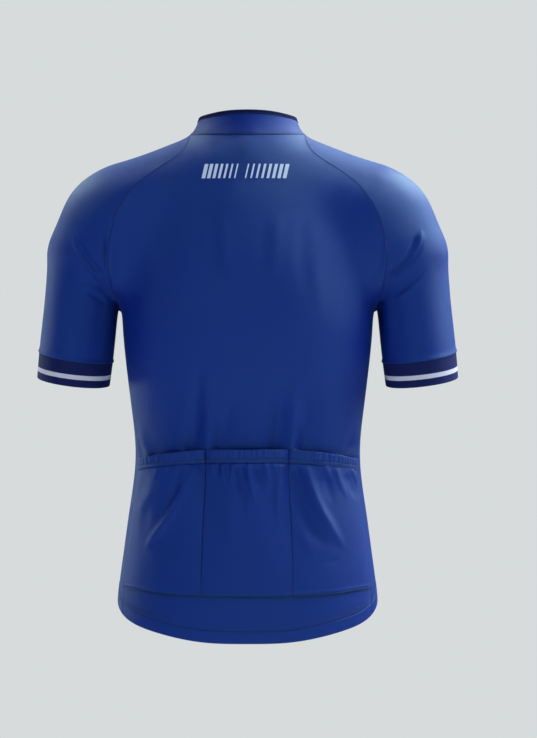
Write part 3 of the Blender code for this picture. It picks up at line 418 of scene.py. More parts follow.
def eased(value, low, high):
    """0 below the low value, 1 above the high one, smooth between."""
    t = np.clip((value - low) / (high - low), 0, 1)
    return t * t * (3 - 2 * t)


def crease_height(x, z, table):
    """Sum of soft ridges and troughs, each a bell across a bent line that swells and dies along it."""
    total = np.zeros(x.shape)
    for x0, z0, xm, zm, x1, z1, width, height, rise, fall in table:
        bend_x, bend_z = 2 * xm - (x0 + x1) / 2, 2 * zm - (z0 + z1) / 2
        t = np.linspace(0, 1, 15)
        line_x = (1 - t) ** 2 * x0 + 2 * t * (1 - t) * bend_x + t ** 2 * x1
        line_z = (1 - t) ** 2 * z0 + 2 * t * (1 - t) * bend_z + t ** 2 * z1
        margin = 3 * width
        close = ((x > line_x.min() - margin) & (x < line_x.max() + margin)
                 & (z > line_z.min() - margin) & (z < line_z.max() + margin))
        px, pz = x[close][:, None], z[close][:, None]
        ax, az = line_x[None, :-1], line_z[None, :-1]
        dx, dz = np.diff(line_x)[None], np.diff(line_z)[None]
        along = np.clip(((px - ax) * dx + (pz - az) * dz) / (dx ** 2 + dz ** 2), 0, 1)
        away = np.hypot(px - ax - along * dx, pz - az - along * dz)
        nearest = np.argmin(away, -1)
        pick = np.arange(len(nearest))
        share = (nearest + along[pick, nearest]) / (len(t) - 1)
        swell = eased(share, 0, max(rise, 1e-3)) * (1 - eased(share, 1 - max(fall, 1e-3), 1))
        spread = width * (0.55 + 0.45 * swell)
        total[close] += height * swell * np.exp(-(away[pick, nearest] / spread) ** 2)
    return total


def worn_height(points, normals):
    """Height of the worn cloth's creases over the figure, fading out where the cloth turns sideways."""
    x, z = points[..., 0], points[..., 2]
    back = eased(-normals[..., 1], *CREASES_FADE) * crease_height(x, z, BACK_CREASES)
    front = eased(normals[..., 1], *CREASES_FADE) * crease_height(x, z, FRONT_CREASES)
    return back + front


def edge_distance(grid, edges):
    """Distance of each grid point from the nearest of the named edges: first or last row or column."""
    away = np.full(grid.shape[:2], 1e9)
    slices = {"bottom": grid[:1], "top": grid[-1:], "left": grid[:, :1], "right": grid[:, -1:]}
    for edge in edges:
        away = np.minimum(away, np.linalg.norm(grid - slices[edge], axis=-1))
    return away


def tucked(distance, radius):
    """How far an edge rounds over towards the middle of its wall: a quarter circle of that radius."""
    rest = np.clip(1 - distance / radius, 0, 1)
    return radius * (1 - np.sqrt(1 - rest ** 2)) * 0.92


def wall_arrays(outer, inner, ring=False):
    """Points, faces and UVs, in metres, of a closed shell of quads between two matching grids.

    Rows run up and columns counter-clockwise seen from above; a ring joins its last column to its first."""
    rows, cols = outer.shape[:2]
    node = np.arange(rows * cols).reshape(rows, cols)
    wide = np.concatenate([outer, outer[:, :1]], 1) if ring else outer
    u = np.concatenate([[0], np.cumsum(np.linalg.norm(np.diff(wide, axis=1), axis=-1).mean(0))]) * MM
    v = np.concatenate([[0], np.cumsum(np.linalg.norm(np.diff(wide, axis=0), axis=-1).mean(1))]) * MM
    if ring:
        node = np.concatenate([node, node[:, :1]], 1)
    place = np.stack(np.broadcast_arrays(u[None, :], v[:, None]), -1)
    corners = ((slice(None, -1), slice(None, -1)), (slice(None, -1), slice(1, None)),
               (slice(1, None), slice(1, None)), (slice(1, None), slice(None, -1)))
    skin = np.stack([node[c] for c in corners], -1).reshape(-1, 4)
    skin_uv = np.stack([place[c] for c in corners], -2).reshape(-1, 4, 2)
    shift = rows * cols
    faces = [skin, skin[:, ::-1] + shift]
    uvs = [skin_uv, skin_uv[:, ::-1]]
    edges = [(node[0, :-1], node[0, 1:], place[0, :-1], place[0, 1:]),
             (node[-1, 1:], node[-1, :-1], place[-1, 1:], place[-1, :-1])]
    if not ring:
        edges += [(node[:-1, -1], node[1:, -1], place[:-1, -1], place[1:, -1]),
                  (node[1:, 0], node[:-1, 0], place[1:, 0], place[:-1, 0])]
    for start, end, uv_start, uv_end in edges:
        faces.append(np.stack([end, start, start + shift, end + shift], -1))
        uvs.append(np.stack([uv_end, uv_start, uv_start, uv_end], -2))
    points = np.concatenate([outer.reshape(-1, 3), inner.reshape(-1, 3)])
    return points, np.concatenate(faces), np.concatenate(uvs)


def pulled_down(distance, *rows):
    """Narrow grooves that rows of stitches pull into doubled cloth."""
    return -STITCH_GROOVE * sum(np.exp(-((distance - row) / STITCH_HALF_GROOVE) ** 2) for row in rows)


def painted_shade_rows(distance, rows, strength=0.55, half=1.0):
    """Painted shade beside rows of stitches or an edge, from 0 to 1: it darkens the base colour where grooves
    and edges would be in shade.
    """
    return strength * sum(np.exp(-((distance - row) / half) ** 2) for row in rows)


def cloth_wall(name, outer, inner, finish, ring=False, mirror=False, painted_shade=None):
    """Mesh object of a closed shell or its mirror image, with its painted shade as a point attribute."""
    points, faces, uvs = wall_arrays(outer, inner, ring)
    if mirror:
        points = points * MIRROR
        faces = faces[:, ::-1]
        uvs = uvs[:, ::-1]
    piece = made_mesh(name, points, faces, finish, "garment", uvs)
    if painted_shade is not None:
        values = np.tile(np.clip(painted_shade, 0, 1).ravel(), 2).astype(np.float32)
        piece.data.attributes.new("painted_shade", "FLOAT", "POINT").data.foreach_set("value", values)
    return piece


def made_mesh(name, points, faces, finish, body, uvs=None, smooth=True):
    """Mesh object at the origin from points in millimetres, with its finish, riding on a body.

    Faces are an array or a list of lists; flat ends, of more than four corners, are never smooth."""
    faces = faces.tolist() if isinstance(faces, np.ndarray) else faces
    mesh = bpy.data.meshes.new(name)
    mesh.from_pydata((np.asarray(points) * MM).tolist(), [], faces)
    if uvs is not None:
        layer = mesh.uv_layers.new(name="cloth")
        layer.uv.foreach_set("vector", np.ascontiguousarray(uvs, np.float32).ravel())
    mesh.polygons.foreach_set("use_smooth", [smooth and len(face) < 5 for face in faces])
    mesh.materials.append(finish)
    mesh.update()
    piece = bpy.data.objects.new(name, mesh)
    bpy.context.scene.collection.objects.link(piece)
    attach(piece, body)
    return piece


def sewn_cloth(name, base, normals, wall, finish, edges, lift=0.0, ring=False, mirror=False, painted_shade=None):
    """Cloth of one wall on the form: creases and lift along the normals, its edges rounded over.

    Wall and lift are one number, or one for each grid point. Returns its object and its outer grid."""
    round_over = tucked(edge_distance(base, edges), wall / 2)
    raised = base + normals * np.broadcast_to(lift, base.shape[:2])[..., None]
    outer = raised - normals * round_over[..., None]
    inner = raised - normals * (wall - round_over)[..., None]
    return cloth_wall(name, outer, inner, finish, ring, mirror, painted_shade), outer


def hem_relief(depth):
    """A folded hem stands out a little and its twin rows of stitches pull it in."""
    return HEM_RISE * (1 - eased(depth, *HEM_STEP)) + pulled_down(depth, *HEM_ROWS)


def inset(grid, normals, amount, ring=False):
    """Edge nodes moved in, square to the edge and to the cloth's normal there."""
    shift = np.zeros(grid.shape)

    def push(edge, within, normal, wrap):
        """Shift of one edge towards the row inside it."""
        tangent = np.roll(edge, -1, 0) - np.roll(edge, 1, 0) if wrap else np.gradient(edge, axis=0)
        across = np.cross(tangent, normal)
        across /= np.linalg.norm(across, axis=-1, keepdims=True)
        return amount * across * np.sign(((within - edge) * across).sum(-1, keepdims=True))

    fades = np.clip(1 - EDGE_STEPS / 1.5, 0, 1)
    for k, fade in enumerate(fades):
        if fade <= 0:
            break
        shift[k] += fade * push(grid[0], grid[6], normals[0], ring)
        shift[-1 - k] += fade * push(grid[-1], grid[-7], normals[-1], ring)
        if not ring:
            shift[:, k] += fade * push(grid[:, 0], grid[:, 6], normals[:, 0], False)
            shift[:, -1 - k] += fade * push(grid[:, -1], grid[:, -7], normals[:, -1], False)
    return grid + shift


def add_node(tree, kind, x, y, **settings):
    """One shader node at a place in its tree, with its settings."""
    node = tree.nodes.new(kind)
    node.location = (x, y)
    for key, value in settings.items():
        setattr(node, key, value)
    return node


def sums(tree, x, y, operation, first, second=None):
    """One Math node; each input is a socket or a number. Returns its output socket."""
    node = add_node(tree, "ShaderNodeMath", x, y, operation=operation)
    for index, value in enumerate((first, second)):
        if value is None:
            continue
        if isinstance(value, (int, float)):
            node.inputs[index].default_value = value
        else:
            tree.links.new(value, node.inputs[index])
    return node.outputs[0]


def new_group(name, inputs, outputs):
    """Shader node group with named float inputs and outputs. Returns it with its input and output nodes."""
    group = bpy.data.node_groups.new(name, "ShaderNodeTree")
    for label, value in inputs:
        socket = group.interface.new_socket(label, in_out="INPUT", socket_type="NodeSocketFloat")
        socket.default_value = value
    for label in outputs:
        group.interface.new_socket(label, in_out="OUTPUT", socket_type="NodeSocketFloat")
    return group, add_node(group, "NodeGroupInput", -900, 0), add_node(group, "NodeGroupOutput", 900, 0)


def knit_group():
    """Knitted face: upright wales a width apart, each a chain of V-shaped loops a course high."""
    group, given, out = new_group("knit_face", (("Wale", 0.0008), ("Course", 0.0009)), ("Height", "Tone"))
    uv = add_node(group, "ShaderNodeUVMap", -900, 300, uv_map="cloth")
    parts = add_node(group, "ShaderNodeSeparateXYZ", -700, 300)
    group.links.new(uv.outputs["UV"], parts.inputs[0])
    wales = sums(group, -600, 300, "DIVIDE", parts.outputs[0], given.outputs["Wale"])
    wale = sums(group, -500, 300, "FRACT", wales)
    arms = sums(group, -300, 300, "ABSOLUTE", sums(group, -400, 300, "SUBTRACT", wale, 0.5))
    course = sums(group, -500, 0, "DIVIDE", parts.outputs[1], given.outputs["Course"])
    loop = sums(group, -200, 0, "ADD", course, sums(group, -300, 100, "MULTIPLY", arms, 1.3))
    wave = sums(group, 0, 0, "COSINE", sums(group, -100, 0, "MULTIPLY", loop, 6.2832))
    squared = sums(group, -200, 300, "MULTIPLY", arms, arms)
    arch = sums(group, 0, 300, "SUBTRACT", 1.0, sums(group, -100, 300, "MULTIPLY", squared, 4.0))
    swell = sums(group, 100, 0, "ADD", 0.7, sums(group, 50, -50, "MULTIPLY", wave, 0.3))
    relief = sums(group, 200, 150, "MULTIPLY", arch, swell)
    # The tone is lower where the loops' relief is low: painted shade between the loops.
    tone = sums(group, 400, -100, "ADD", 0.86, sums(group, 300, -100, "MULTIPLY", relief, 0.2))
    group.links.new(relief, out.inputs["Height"])
    group.links.new(tone, out.inputs["Tone"])
    return group


def soft_group():
    """Unevenness of worn cloth: broad tone drift and small shallow rumples."""
    group, given, out = new_group("worn_softness", (("Size", 28.0),), ("Tone", "Rumple"))
    place = add_node(group, "ShaderNodeTexCoord", -700, 0)
    broad = add_node(group, "ShaderNodeTexNoise", -400, 200)
    broad.inputs["Detail"].default_value = 2.0
    small = add_node(group, "ShaderNodeTexNoise", -400, -200)
    small.inputs["Detail"].default_value = 3.0
    for noise in (broad, small):
        group.links.new(place.outputs["Object"], noise.inputs["Vector"])
    group.links.new(sums(group, -550, 200, "MULTIPLY", given.outputs["Size"], 0.4), broad.inputs["Scale"])
    group.links.new(given.outputs["Size"], small.inputs["Scale"])
    drift = sums(group, 0, 200, "ADD", 0.92, sums(group, -100, 200, "MULTIPLY", broad.outputs[0], 0.16))
    group.links.new(drift, out.inputs["Tone"])
    group.links.new(small.outputs[0], out.inputs["Rumple"])
    return group


KNIT = knit_group()
SOFT = soft_group()


def cloth_finish(name, colour, roughness, sheen, tint, wale=0.0008, relief=0.00022, specular=0.2):
    """Knitted cloth: a dyed colour that drifts, with painted shade between its loops and from its shade
    attribute along stitch grooves and edges, its loops in relief, and the sheen of fine filament yarn.
    """
    finish = bpy.data.materials.new(name)
    finish.use_nodes = True
    tree = finish.node_tree
    shader = tree.nodes["Principled BSDF"]
    shader.inputs["Specular IOR Level"].default_value = specular
    shader.inputs["Specular Tint"].default_value = (*tint, 1.0)
    shader.inputs["Sheen Weight"].default_value = sheen
    shader.inputs["Sheen Roughness"].default_value = 0.35
    shader.inputs["Sheen Tint"].default_value = (*tint, 1.0)
    knit = add_node(tree, "ShaderNodeGroup", -900, 100, node_tree=KNIT)
    knit.inputs["Wale"].default_value = wale
    knit.inputs["Course"].default_value = wale * 1.15
    soft = add_node(tree, "ShaderNodeGroup", -900, -200, node_tree=SOFT)
    # Painted shade: this attribute darkens the base colour beside stitch rows and under the edges of pockets
    # and bands.
    painted_shade = add_node(tree, "ShaderNodeAttribute", -900, 350, attribute_name="painted_shade")
    shaded = sums(tree, -800, 350, "MULTIPLY", painted_shade.outputs["Fac"], PAINTED_SHADE_DEPTH)
    painted_shade_factor = sums(tree, -700, 350, "SUBTRACT", 1.0, shaded)
    # Painted shade between the loops times a random drift of the dyed tone.
    painted_loop_shade_and_drift = sums(tree, -700, 200, "MULTIPLY", knit.outputs["Tone"], soft.outputs["Tone"])
    tone = sums(tree, -650, 200, "MULTIPLY", painted_loop_shade_and_drift, painted_shade_factor)
    paint = add_node(tree, "ShaderNodeMix", -400, 300, data_type="RGBA", blend_type="MULTIPLY")
    paint.inputs[0].default_value = 1.0
    paint.inputs[6].default_value = (*colour, 1.0)
    shade = add_node(tree, "ShaderNodeCombineColor", -550, 200)
    for channel in range(3):
        tree.links.new(tone, shade.inputs[channel])
    tree.links.new(shade.outputs[0], paint.inputs[7])
    tree.links.new(paint.outputs[2], shader.inputs["Base Color"])
    uneven = sums(tree, -500, 0, "MULTIPLY", soft.outputs["Rumple"], 0.1)
    rough = sums(tree, -400, 0, "ADD", roughness - 0.05, uneven)
    tree.links.new(rough, shader.inputs["Roughness"])
    broad = add_node(tree, "ShaderNodeBump", -400, -300)
    broad.inputs["Distance"].default_value = 0.0012
    broad.inputs["Strength"].default_value = 0.5
    tree.links.new(soft.outputs["Rumple"], broad.inputs["Height"])
    fine = add_node(tree, "ShaderNodeBump", -200, -200)
    fine.inputs["Distance"].default_value = relief
    fine.inputs["Strength"].default_value = 0.6
    tree.links.new(knit.outputs["Height"], fine.inputs["Height"])
    tree.links.new(broad.outputs[0], fine.inputs["Normal"])
    tree.links.new(fine.outputs[0], shader.inputs["Normal"])
    return finish


ROYAL = (0.0008, 0.0060, 0.150)
ROYAL_SHEEN = (0.38, 0.95, 0.90)
royal_knit = cloth_finish("royal_knit", ROYAL, 0.52, 0.04, ROYAL_SHEEN, specular=0.34)

FRONT_CREASES = (
    (-228, -128, -214, -162, -186, -196, 4.0, -1.8, 0.35, 0.2),
    (-234, -176, -214, -199, -186, -217, 4.0, -1.0, 0.5, 0.2),
    (226, -130, 212, -164, 184, -194, 4.5, -2.0, 0.3, 0.2),
    (230, -178, 212, -204, 186, -220, 4.0, 1.0, 0.5, 0.2),
    (-150, -255, -120, -300, -80, -340, 12, 1.5, 0.4, 0.5),
    (152, -262, 124, -312, 88, -352, 12, 1.3, 0.4, 0.5),
    (-142, -300, -112, -342, -70, -380, 10, -1.3, 0.4, 0.5),
    (140, -310, 108, -352, 64, -388, 10, -1.1, 0.4, 0.5),
    (-100, -420, -96, -480, -98, -560, 14, 1.2, 0.4, 0.5),
    (92, -430, 96, -492, 102, -566, 14, 1.1, 0.4, 0.5),
    (-60, -90, -64, -150, -60, -220, 13, -1.0, 0.4, 0.5),
    (66, -96, 70, -158, 64, -226, 13, -1.0, 0.4, 0.5),
    (-36, -440, -32, -500, -34, -570, 11, -0.9, 0.4, 0.4),
    (40, -450, 38, -510, 36, -580, 11, -0.9, 0.4, 0.4),
)

COLLAR_SEAM_HEIGHT, COLLAR_TOP_HEIGHT = column_curves(COLLAR)
SIDE_ANGLE, = column_curves(SIDE_SEAM)
LEVEL_CURVES = column_curves(LEVELS)
UNDERARM = underarm_fold(-4.0)
BACK_FOLD = np.stack([underarm_fold(depth) for depth in (-28.0, -16.0)])


def side_mark(curve):
    """Height where a line round the body meets the side seam."""
    angle = 75.0
    for _ in range(12):
        angle = float(SIDE_ANGLE(curve(angle)))
    return float(curve(angle))


SIDE_MARKS = [side_mark(curve) for curve in LEVEL_CURVES] + [float(UNDERARM[2])]


def between_lines(shares, zone, ups):
    """Angle, level and side height at shares across the back and up a zone between lines round the body."""
    side = SIDE_MARKS[zone] + (SIDE_MARKS[zone + 1] - SIDE_MARKS[zone]) * ups
    angle = shares[None, :] * SIDE_ANGLE(side)[:, None]
    low = LEVEL_CURVES[zone](np.abs(angle))
    high = LEVEL_CURVES[zone + 1](np.abs(angle))
    return angle, low + (high - low) * ups[:, None], side


def zone_lines(shares, zone, ups):
    """Pairs of angle and level in a zone, drawn to the side seam's own heights towards both sides."""
    angle, level, side = between_lines(shares, zone, ups)
    drift = side - level[:, -1]
    return np.stack([angle, level + drift[:, None] * shares[None, :] ** 2], -1)


def bridged(up, edge, low, high):
    """Edge line with its part round the underarm corner, between two shares, replaced by a smooth curve."""
    kept = (up < low) | (up > high)
    return natural_spline(up[kept], edge[kept])(up)


def turned_in(edge, smooth, distance):
    """What the true edge adds to the bridged one, fading out with the distance from the edge."""
    return (edge - smooth)[:, None] * (1 - eased(distance, *BRIDGE_REACH))[None, :, None]


def hemmed(grid):
    """Depth of each grid point above the hem's edge, and the wall of the cloth there, doubled in the hem."""
    depth = edge_distance(grid, ("bottom",))
    return depth, KNIT_WALL + (HEM_WALL - KNIT_WALL) * (1 - eased(depth, *HEM_STEP))


BACK_WIDTH = 350.0
RAGLAN_LENGTH = 285.0
# Shares of the back's height above the bands: where its raglan seam starts, and what is bridged round there.
# Then the distances from the edge between which the bridged lines take over from the true ones.
UNDERARM_SHARE = 0.42
UNDERARM_BRIDGE = (0.34, 0.56)
BRIDGE_REACH = (2.6, 34.0)
back_across = close_set(BACK_WIDTH)
back_shares = 2 * back_across - 1
zone_heights = np.diff(SIDE_MARKS)
zone_ups = [close_set(zone_heights[HEM], high=False, step=FINE_STEP)]
zone_ups += [close_set(zone_heights[HEM_STITCH], low=False)]
zone_ups += [close_set(zone_heights[POCKET_BOTTOM]), close_set(zone_heights[BAND_BOTTOM])]
low_lines = [zone_lines(back_shares, z, ups)[:-1] for z, ups in enumerate(zone_ups)]
low_lines.append(zone_lines(back_shares, BAND_BOTTOM, np.array([1.0])))
side_low = np.concatenate([SIDE_MARKS[z] + zone_heights[z] * ups[:-1] for z, ups in enumerate(zone_ups)])
high_ups = close_set(zone_heights[BAND_TOP], high=False)
side_high = SIDE_MARKS[BAND_TOP] + zone_heights[BAND_TOP] * high_ups
side_heights = np.concatenate([side_low, side_high])
side_points = torso_point(SIDE_ANGLE(side_heights), side_heights)
side_points[-1] = UNDERARM
raglan_shares = close_set(RAGLAN_LENGTH, low=False)
back_raglan = raglan_curve(RAGLAN_BACK, BACK_FOLD, COLLAR_BACK_ANGLE, -1, raglan_shares)
side_line = np.stack([SIDE_ANGLE(side_high), side_high], -1)
right_edge = np.concatenate([side_line, torso_angle_level(back_raglan)[1:]])
collar_back_angles = COLLAR_BACK_ANGLE * back_shares
collar_back = neck_point(collar_back_angles, COLLAR_SEAM_HEIGHT(np.abs(collar_back_angles)))
raglan_up = UNDERARM_SHARE + (1 - UNDERARM_SHARE) * raglan_shares
high_up = np.concatenate([UNDERARM_SHARE * high_ups, raglan_up[1:]])
smooth_edge = bridged(high_up, right_edge, *UNDERARM_BRIDGE)
high_lines = filled(low_lines[-1][0], torso_angle_level(collar_back),
                    smooth_edge * np.array([-1, 1]), smooth_edge, back_across, high_up)
turn_in = turned_in(right_edge, smooth_edge, (1 - np.abs(back_shares)) * BACK_WIDTH / 2)
turn_in[..., 0] *= np.where(back_shares < 0, -1, 1)
back_lines = np.concatenate([*low_lines[:-1], high_lines + turn_in])
back_grid = torso_point(back_lines[..., 0], back_lines[..., 1])
back_grid[:len(side_points), -1] = side_points
back_grid[len(side_points) - 1:, -1] = back_raglan
back_grid[:, 0] = back_grid[:, -1] * MIRROR
back_grid[-1] = collar_back
back_normals = outward(back_grid)
hem_depth, back_wall = hemmed(back_grid)

# Strength and half width of the back's painted shadow lines: two along the pockets' bottom, painted shadow
# under the pocket's edge, one along their mouths, painted shade of the gap behind the band
POCKET_PAINTED_SHADOW = ((0.55, 1.7), (0.12, 8.0))
MOUTH_PAINTED_SHADE = (0.7, 1.6)
pocket_row = len(zone_ups[0]) + len(zone_ups[1]) - 2
mouth_row = pocket_row + len(zone_ups[2]) + len(zone_ups[3]) - 2
back_run = run_along(back_grid)
below_pocket = back_run[pocket_row] - back_run
above_mouth = back_run - back_run[mouth_row]
# Painted shade of the back: along the hem's stitch rows, under the pockets' bottom edge and along their
# mouths.
back_painted_shade = painted_shade_rows(hem_depth, HEM_ROWS)
for press in POCKET_PAINTED_SHADOW:
    back_painted_shade += (below_pocket > -0.5) * painted_shade_rows(below_pocket, (0.0,), *press)
back_painted_shade += (above_mouth > -0.5) * painted_shade_rows(above_mouth, (0.0,), *MOUTH_PAINTED_SHADE)
back_height = worn_height(back_grid, back_normals) + hem_relief(hem_depth)
back_panel, back_face = sewn_cloth("back_cloth", inset(back_grid, back_normals, SEAM_GAP / 2), back_normals,
                                   back_wall, royal_knit, ALL_EDGES, back_height, painted_shade=back_painted_shade)
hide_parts("back_panel")

# ================================================================ front panels
# Two mirror cuts of the same knit, each running from the collar to a hem cut higher than the back's.
# They are sewn to the back at the side seams and to the zip tape down the middle.
ZIP_HALF_WIDTH = 7.0
# Front raglan seam from the collar to the underarm: x, z
RAGLAN_FRONT = ((82, -46), (106, -66), (128, -88), (147, -111), (160, -136), (169, -162), (175, -188))
FRONT_FOLD = np.stack([underarm_fold(depth) for depth in (20.0, 8.0)])

front_raglan = raglan_curve(RAGLAN_FRONT, FRONT_FOLD, COLLAR_FRONT_ANGLE, 1, raglan_shares)
side_edge = np.concatenate([side_points, front_raglan[1:]])
edge_run = run_along(side_edge)
hem_front = float(LEVEL_CURVES[HEM](180.0))
neck_front = float(COLLAR_SEAM_HEIGHT(180.0))
front_up = edge_run / edge_run[-1]


def zip_points(x, levels):
    """Points of the front at one distance from its middle line."""
    return facing_point(x, levels, 1)


FRONT_WIDTH = 150.0
NECK_FRONT_RADIUS = 68.0
# How far below and above the underarm corner, as shares of the front's height, its side line is bridged
CORNER_BELOW, CORNER_ABOVE = 0.05, 0.09
centre_edge = zip_points(ZIP_HALF_WIDTH, hem_front + (neck_front - hem_front) * front_up)
front_across = close_set(FRONT_WIDTH)
side_lines = torso_angle_level(side_edge)
side_lines[:len(side_heights)] = np.stack([SIDE_ANGLE(side_heights), side_heights], -1)
centre_lines = torso_angle_level(centre_edge)
hem_angle = side_lines[0, 0] + (centre_lines[0, 0] - side_lines[0, 0]) * front_across
hem_edge = np.stack([hem_angle, LEVEL_CURVES[HEM](hem_angle)], -1)
hem_edge[:, 1] += (side_lines[0, 1] - hem_edge[0, 1]) * (1 - front_across) ** 2
zip_collar_angle = 180 - np.degrees(np.arcsin(ZIP_HALF_WIDTH / NECK_FRONT_RADIUS))
collar_front_angles = COLLAR_FRONT_ANGLE + (zip_collar_angle - COLLAR_FRONT_ANGLE) * front_across
collar_front = neck_point(collar_front_angles, COLLAR_SEAM_HEIGHT(collar_front_angles))
collar_front += (centre_edge[-1] - collar_front[-1]) * front_across[:, None] ** 4
corner_up = front_up[len(side_points) - 1]
smooth_side = bridged(front_up, side_lines, corner_up - CORNER_BELOW, corner_up + CORNER_ABOVE)
front_lines = filled(hem_edge, torso_angle_level(collar_front), smooth_side, centre_lines,
                     front_across, front_up)
front_lines += turned_in(side_lines, smooth_side, FRONT_WIDTH * front_across)
front_grid = torso_point(front_lines[..., 0], front_lines[..., 1])
front_grid[:, 0] = side_edge
front_grid[:, -1] = centre_edge
front_grid[-1] = collar_front
front_normals = outward(front_grid)
hem_depth, front_wall = hemmed(front_grid)
front_faces = {}
for side, turned in SIDES:
    height = worn_height(front_grid * turned, front_normals * turned) + hem_relief(hem_depth)
    # Painted shade along the hem's stitch rows.
    panel, front_faces[side] = sewn_cloth(
        "front_cloth_" + side, inset(front_grid, front_normals, SEAM_GAP / 2), front_normals, front_wall,
        royal_knit, ALL_EDGES, height, mirror=side == "left", painted_shade=painted_shade_rows(hem_depth, HEM_ROWS))
    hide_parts("front_panel_" + side)

# ================================================================ sleeves
# One raglan cut of the same knit for each arm, from the collar over the shoulder to the cuff.
# It is closed by one underarm seam and sewn to the back and the front along the raglan seams.
# Middle line of the shoulder and sleeve: x, z
SLEEVE_LINE = (
    (36, -46), (80, -58), (120, -74), (156, -96), (186, -126), (205, -166),
    (216, -214), (222.5, -256), (228.5, -296), (231.5, -326), (235, -362),
)
SLEEVE_LINE_Y = -4.0
# How far in the sleeve reaches beside the underarm fold: height, x
SLEEVE_FENCE = ((-228, 168.5), (-215, 166), (-200, 160), (-180, 140), (-140, 90), (-110, 0))
sleeve_knots = np.array(SLEEVE_LINE, float)
sleeve_chord = np.concatenate([[0], np.cumsum(np.hypot(*np.diff(sleeve_knots, axis=0).T))])
sleeve_curve = natural_spline(sleeve_chord, sleeve_knots)


def sleeve_form(points):
    """The form as the sleeve sees it, cut off where the body begins."""
    fence = np.interp(points[..., 2], *np.array(SLEEVE_FENCE, float).T)
    return np.maximum(form(points), fence - points[..., 0])


def sleeve_frame(station):
    """Middle point, direction and outer normal of the sleeve's line at each station."""
    station = np.asarray(station, float)
    at = sleeve_curve(station)
    ahead = sleeve_curve(station + 0.5) - sleeve_curve(station - 0.5)
    ahead = ahead / np.linalg.norm(ahead, axis=-1, keepdims=True)
    flat = np.full(station.shape, SLEEVE_LINE_Y)
    middle = np.stack([at[..., 0], flat, at[..., 1]], -1)
    along = np.stack([ahead[..., 0], 0 * flat, ahead[..., 1]], -1)
    outer = np.stack([-ahead[..., 1], 0 * flat, ahead[..., 0]], -1)
    return middle, along, outer


def sleeve_point(station, turn):
    """Point of the form on the ring at a station; turns run in degrees from the outer line round the back."""
    station, turn = np.broadcast_arrays(station, np.radians(turn))
    middle, _, outer = sleeve_frame(station)
    direction = np.cos(turn)[..., None] * outer + np.sin(turn)[..., None] * np.array([0.0, -1.0, 0.0])
    return first_exit(middle, direction, 150.0, sleeve_form)


def sleeve_station_turn(points):
    """Station and turn of each point: the nearest ring plane that holds it."""
    stations = np.linspace(1, sleeve_chord[-1] - 1, 1200)
    middle, along, _ = sleeve_frame(stations)
    offset = points[..., None, :] - middle
    beside = (offset * along).sum(-1)
    apart = np.linalg.norm(offset, axis=-1)
    cross = (beside[..., :-1] >= 0) & (beside[..., 1:] < 0)
    pick = np.argmin(np.where(cross, apart[..., :-1], 1e9), -1)
    before = np.take_along_axis(beside, pick[..., None], -1)[..., 0]
    after = np.take_along_axis(beside, pick[..., None] + 1, -1)[..., 0]
    station = stations[pick] + before / (before - after) * (stations[1] - stations[0])
    middle, _, outer = sleeve_frame(station)
    away = points - middle
    turn = np.degrees(np.arctan2(-away[..., 1], (away * outer).sum(-1)))
    return station, turn % 360


collar_side_angles = np.linspace(COLLAR_FRONT_ANGLE, COLLAR_BACK_ANGLE, 21)
collar_side = neck_point(collar_side_angles, COLLAR_SEAM_HEIGHT(collar_side_angles))
sleeve_loop = np.concatenate([collar_side, back_raglan[::-1][1:], front_raglan[1:-1]])
loop_station, loop_turn = sleeve_station_turn(sleeve_loop)
loop_turn = np.unwrap(loop_turn, period=360)
even_turn = loop_turn[0] + np.linspace(0, 360, len(sleeve_loop), endpoint=False)
even_turn = even_turn + np.mean(loop_turn - even_turn)
# Station of the cuff seam: its middle, and how much lower it runs on the outer line and on the back
CUFF_SEAM_MIDDLE = -1.5
CUFF_SEAM_OUTER = -1.5
CUFF_SEAM_BACK = 6.5
# The turned edge above the cuff, where its doubled cloth ends, and where the creases die out before it
SEAM_FOLD = 1.1
FOLD_STEP = (2.2, 5.2)
CREASES_END = (2.0, 14.0)
SLEEVE_LENGTH = 250.0
cuff_middle = float(sleeve_station_turn(np.array([[228.5, SLEEVE_LINE_Y, -296.0]]))[0][0])
cuff_station = (cuff_middle + CUFF_SEAM_MIDDLE + CUFF_SEAM_OUTER * np.cos(np.radians(even_turn))
                + CUFF_SEAM_BACK * np.sin(np.radians(even_turn)))
sleeve_down = close_set(SLEEVE_LENGTH)[:, None]
sleeve_grid = sleeve_point(loop_station * (1 - sleeve_down) + cuff_station * sleeve_down,
                           loop_turn * (1 - sleeve_down) + even_turn * sleeve_down)
sleeve_grid = sleeve_grid + (sleeve_loop - sleeve_grid[0]) * (1 - sleeve_down[..., None]) ** 3
sleeve_normals = outward(sleeve_grid)
sleeve_end = np.linalg.norm(sleeve_grid - sleeve_grid[-1:], axis=-1)
sleeve_faces = {}
for side, turned in SIDES:
    height = worn_height(sleeve_grid * turned, sleeve_normals * turned) * eased(sleeve_end, *CREASES_END)
    height += SEAM_FOLD * (1 - eased(sleeve_end, *FOLD_STEP))
    sleeve, sleeve_faces[side] = sewn_cloth(
        "sleeve_cloth_" + side, sleeve_grid, sleeve_normals, KNIT_WALL, royal_knit, ("bottom", "top"), height,
        ring=True, mirror=side == "left")
    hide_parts("sleeve_" + side)

# ================================================================ cuffs
# A doubled navy rib band on each sleeve, with one pale stripe knitted in near its lower edge.
# It is sewn on under the sleeve's turned edge, and holds the sleeve down on the arm.
CUFF_HEIGHT = 33.0
CUFF_TUCK = 1.2
CUFF_WALL = 2.0
NAVY = (0.0055, 0.0085, 0.060)
NAVY_SHEEN = (0.60, 0.72, 1.0)
STRIPE = (0.47, 0.43, 0.52)
STRIPE_FROM = 0.0093
STRIPE_TO = 0.0152


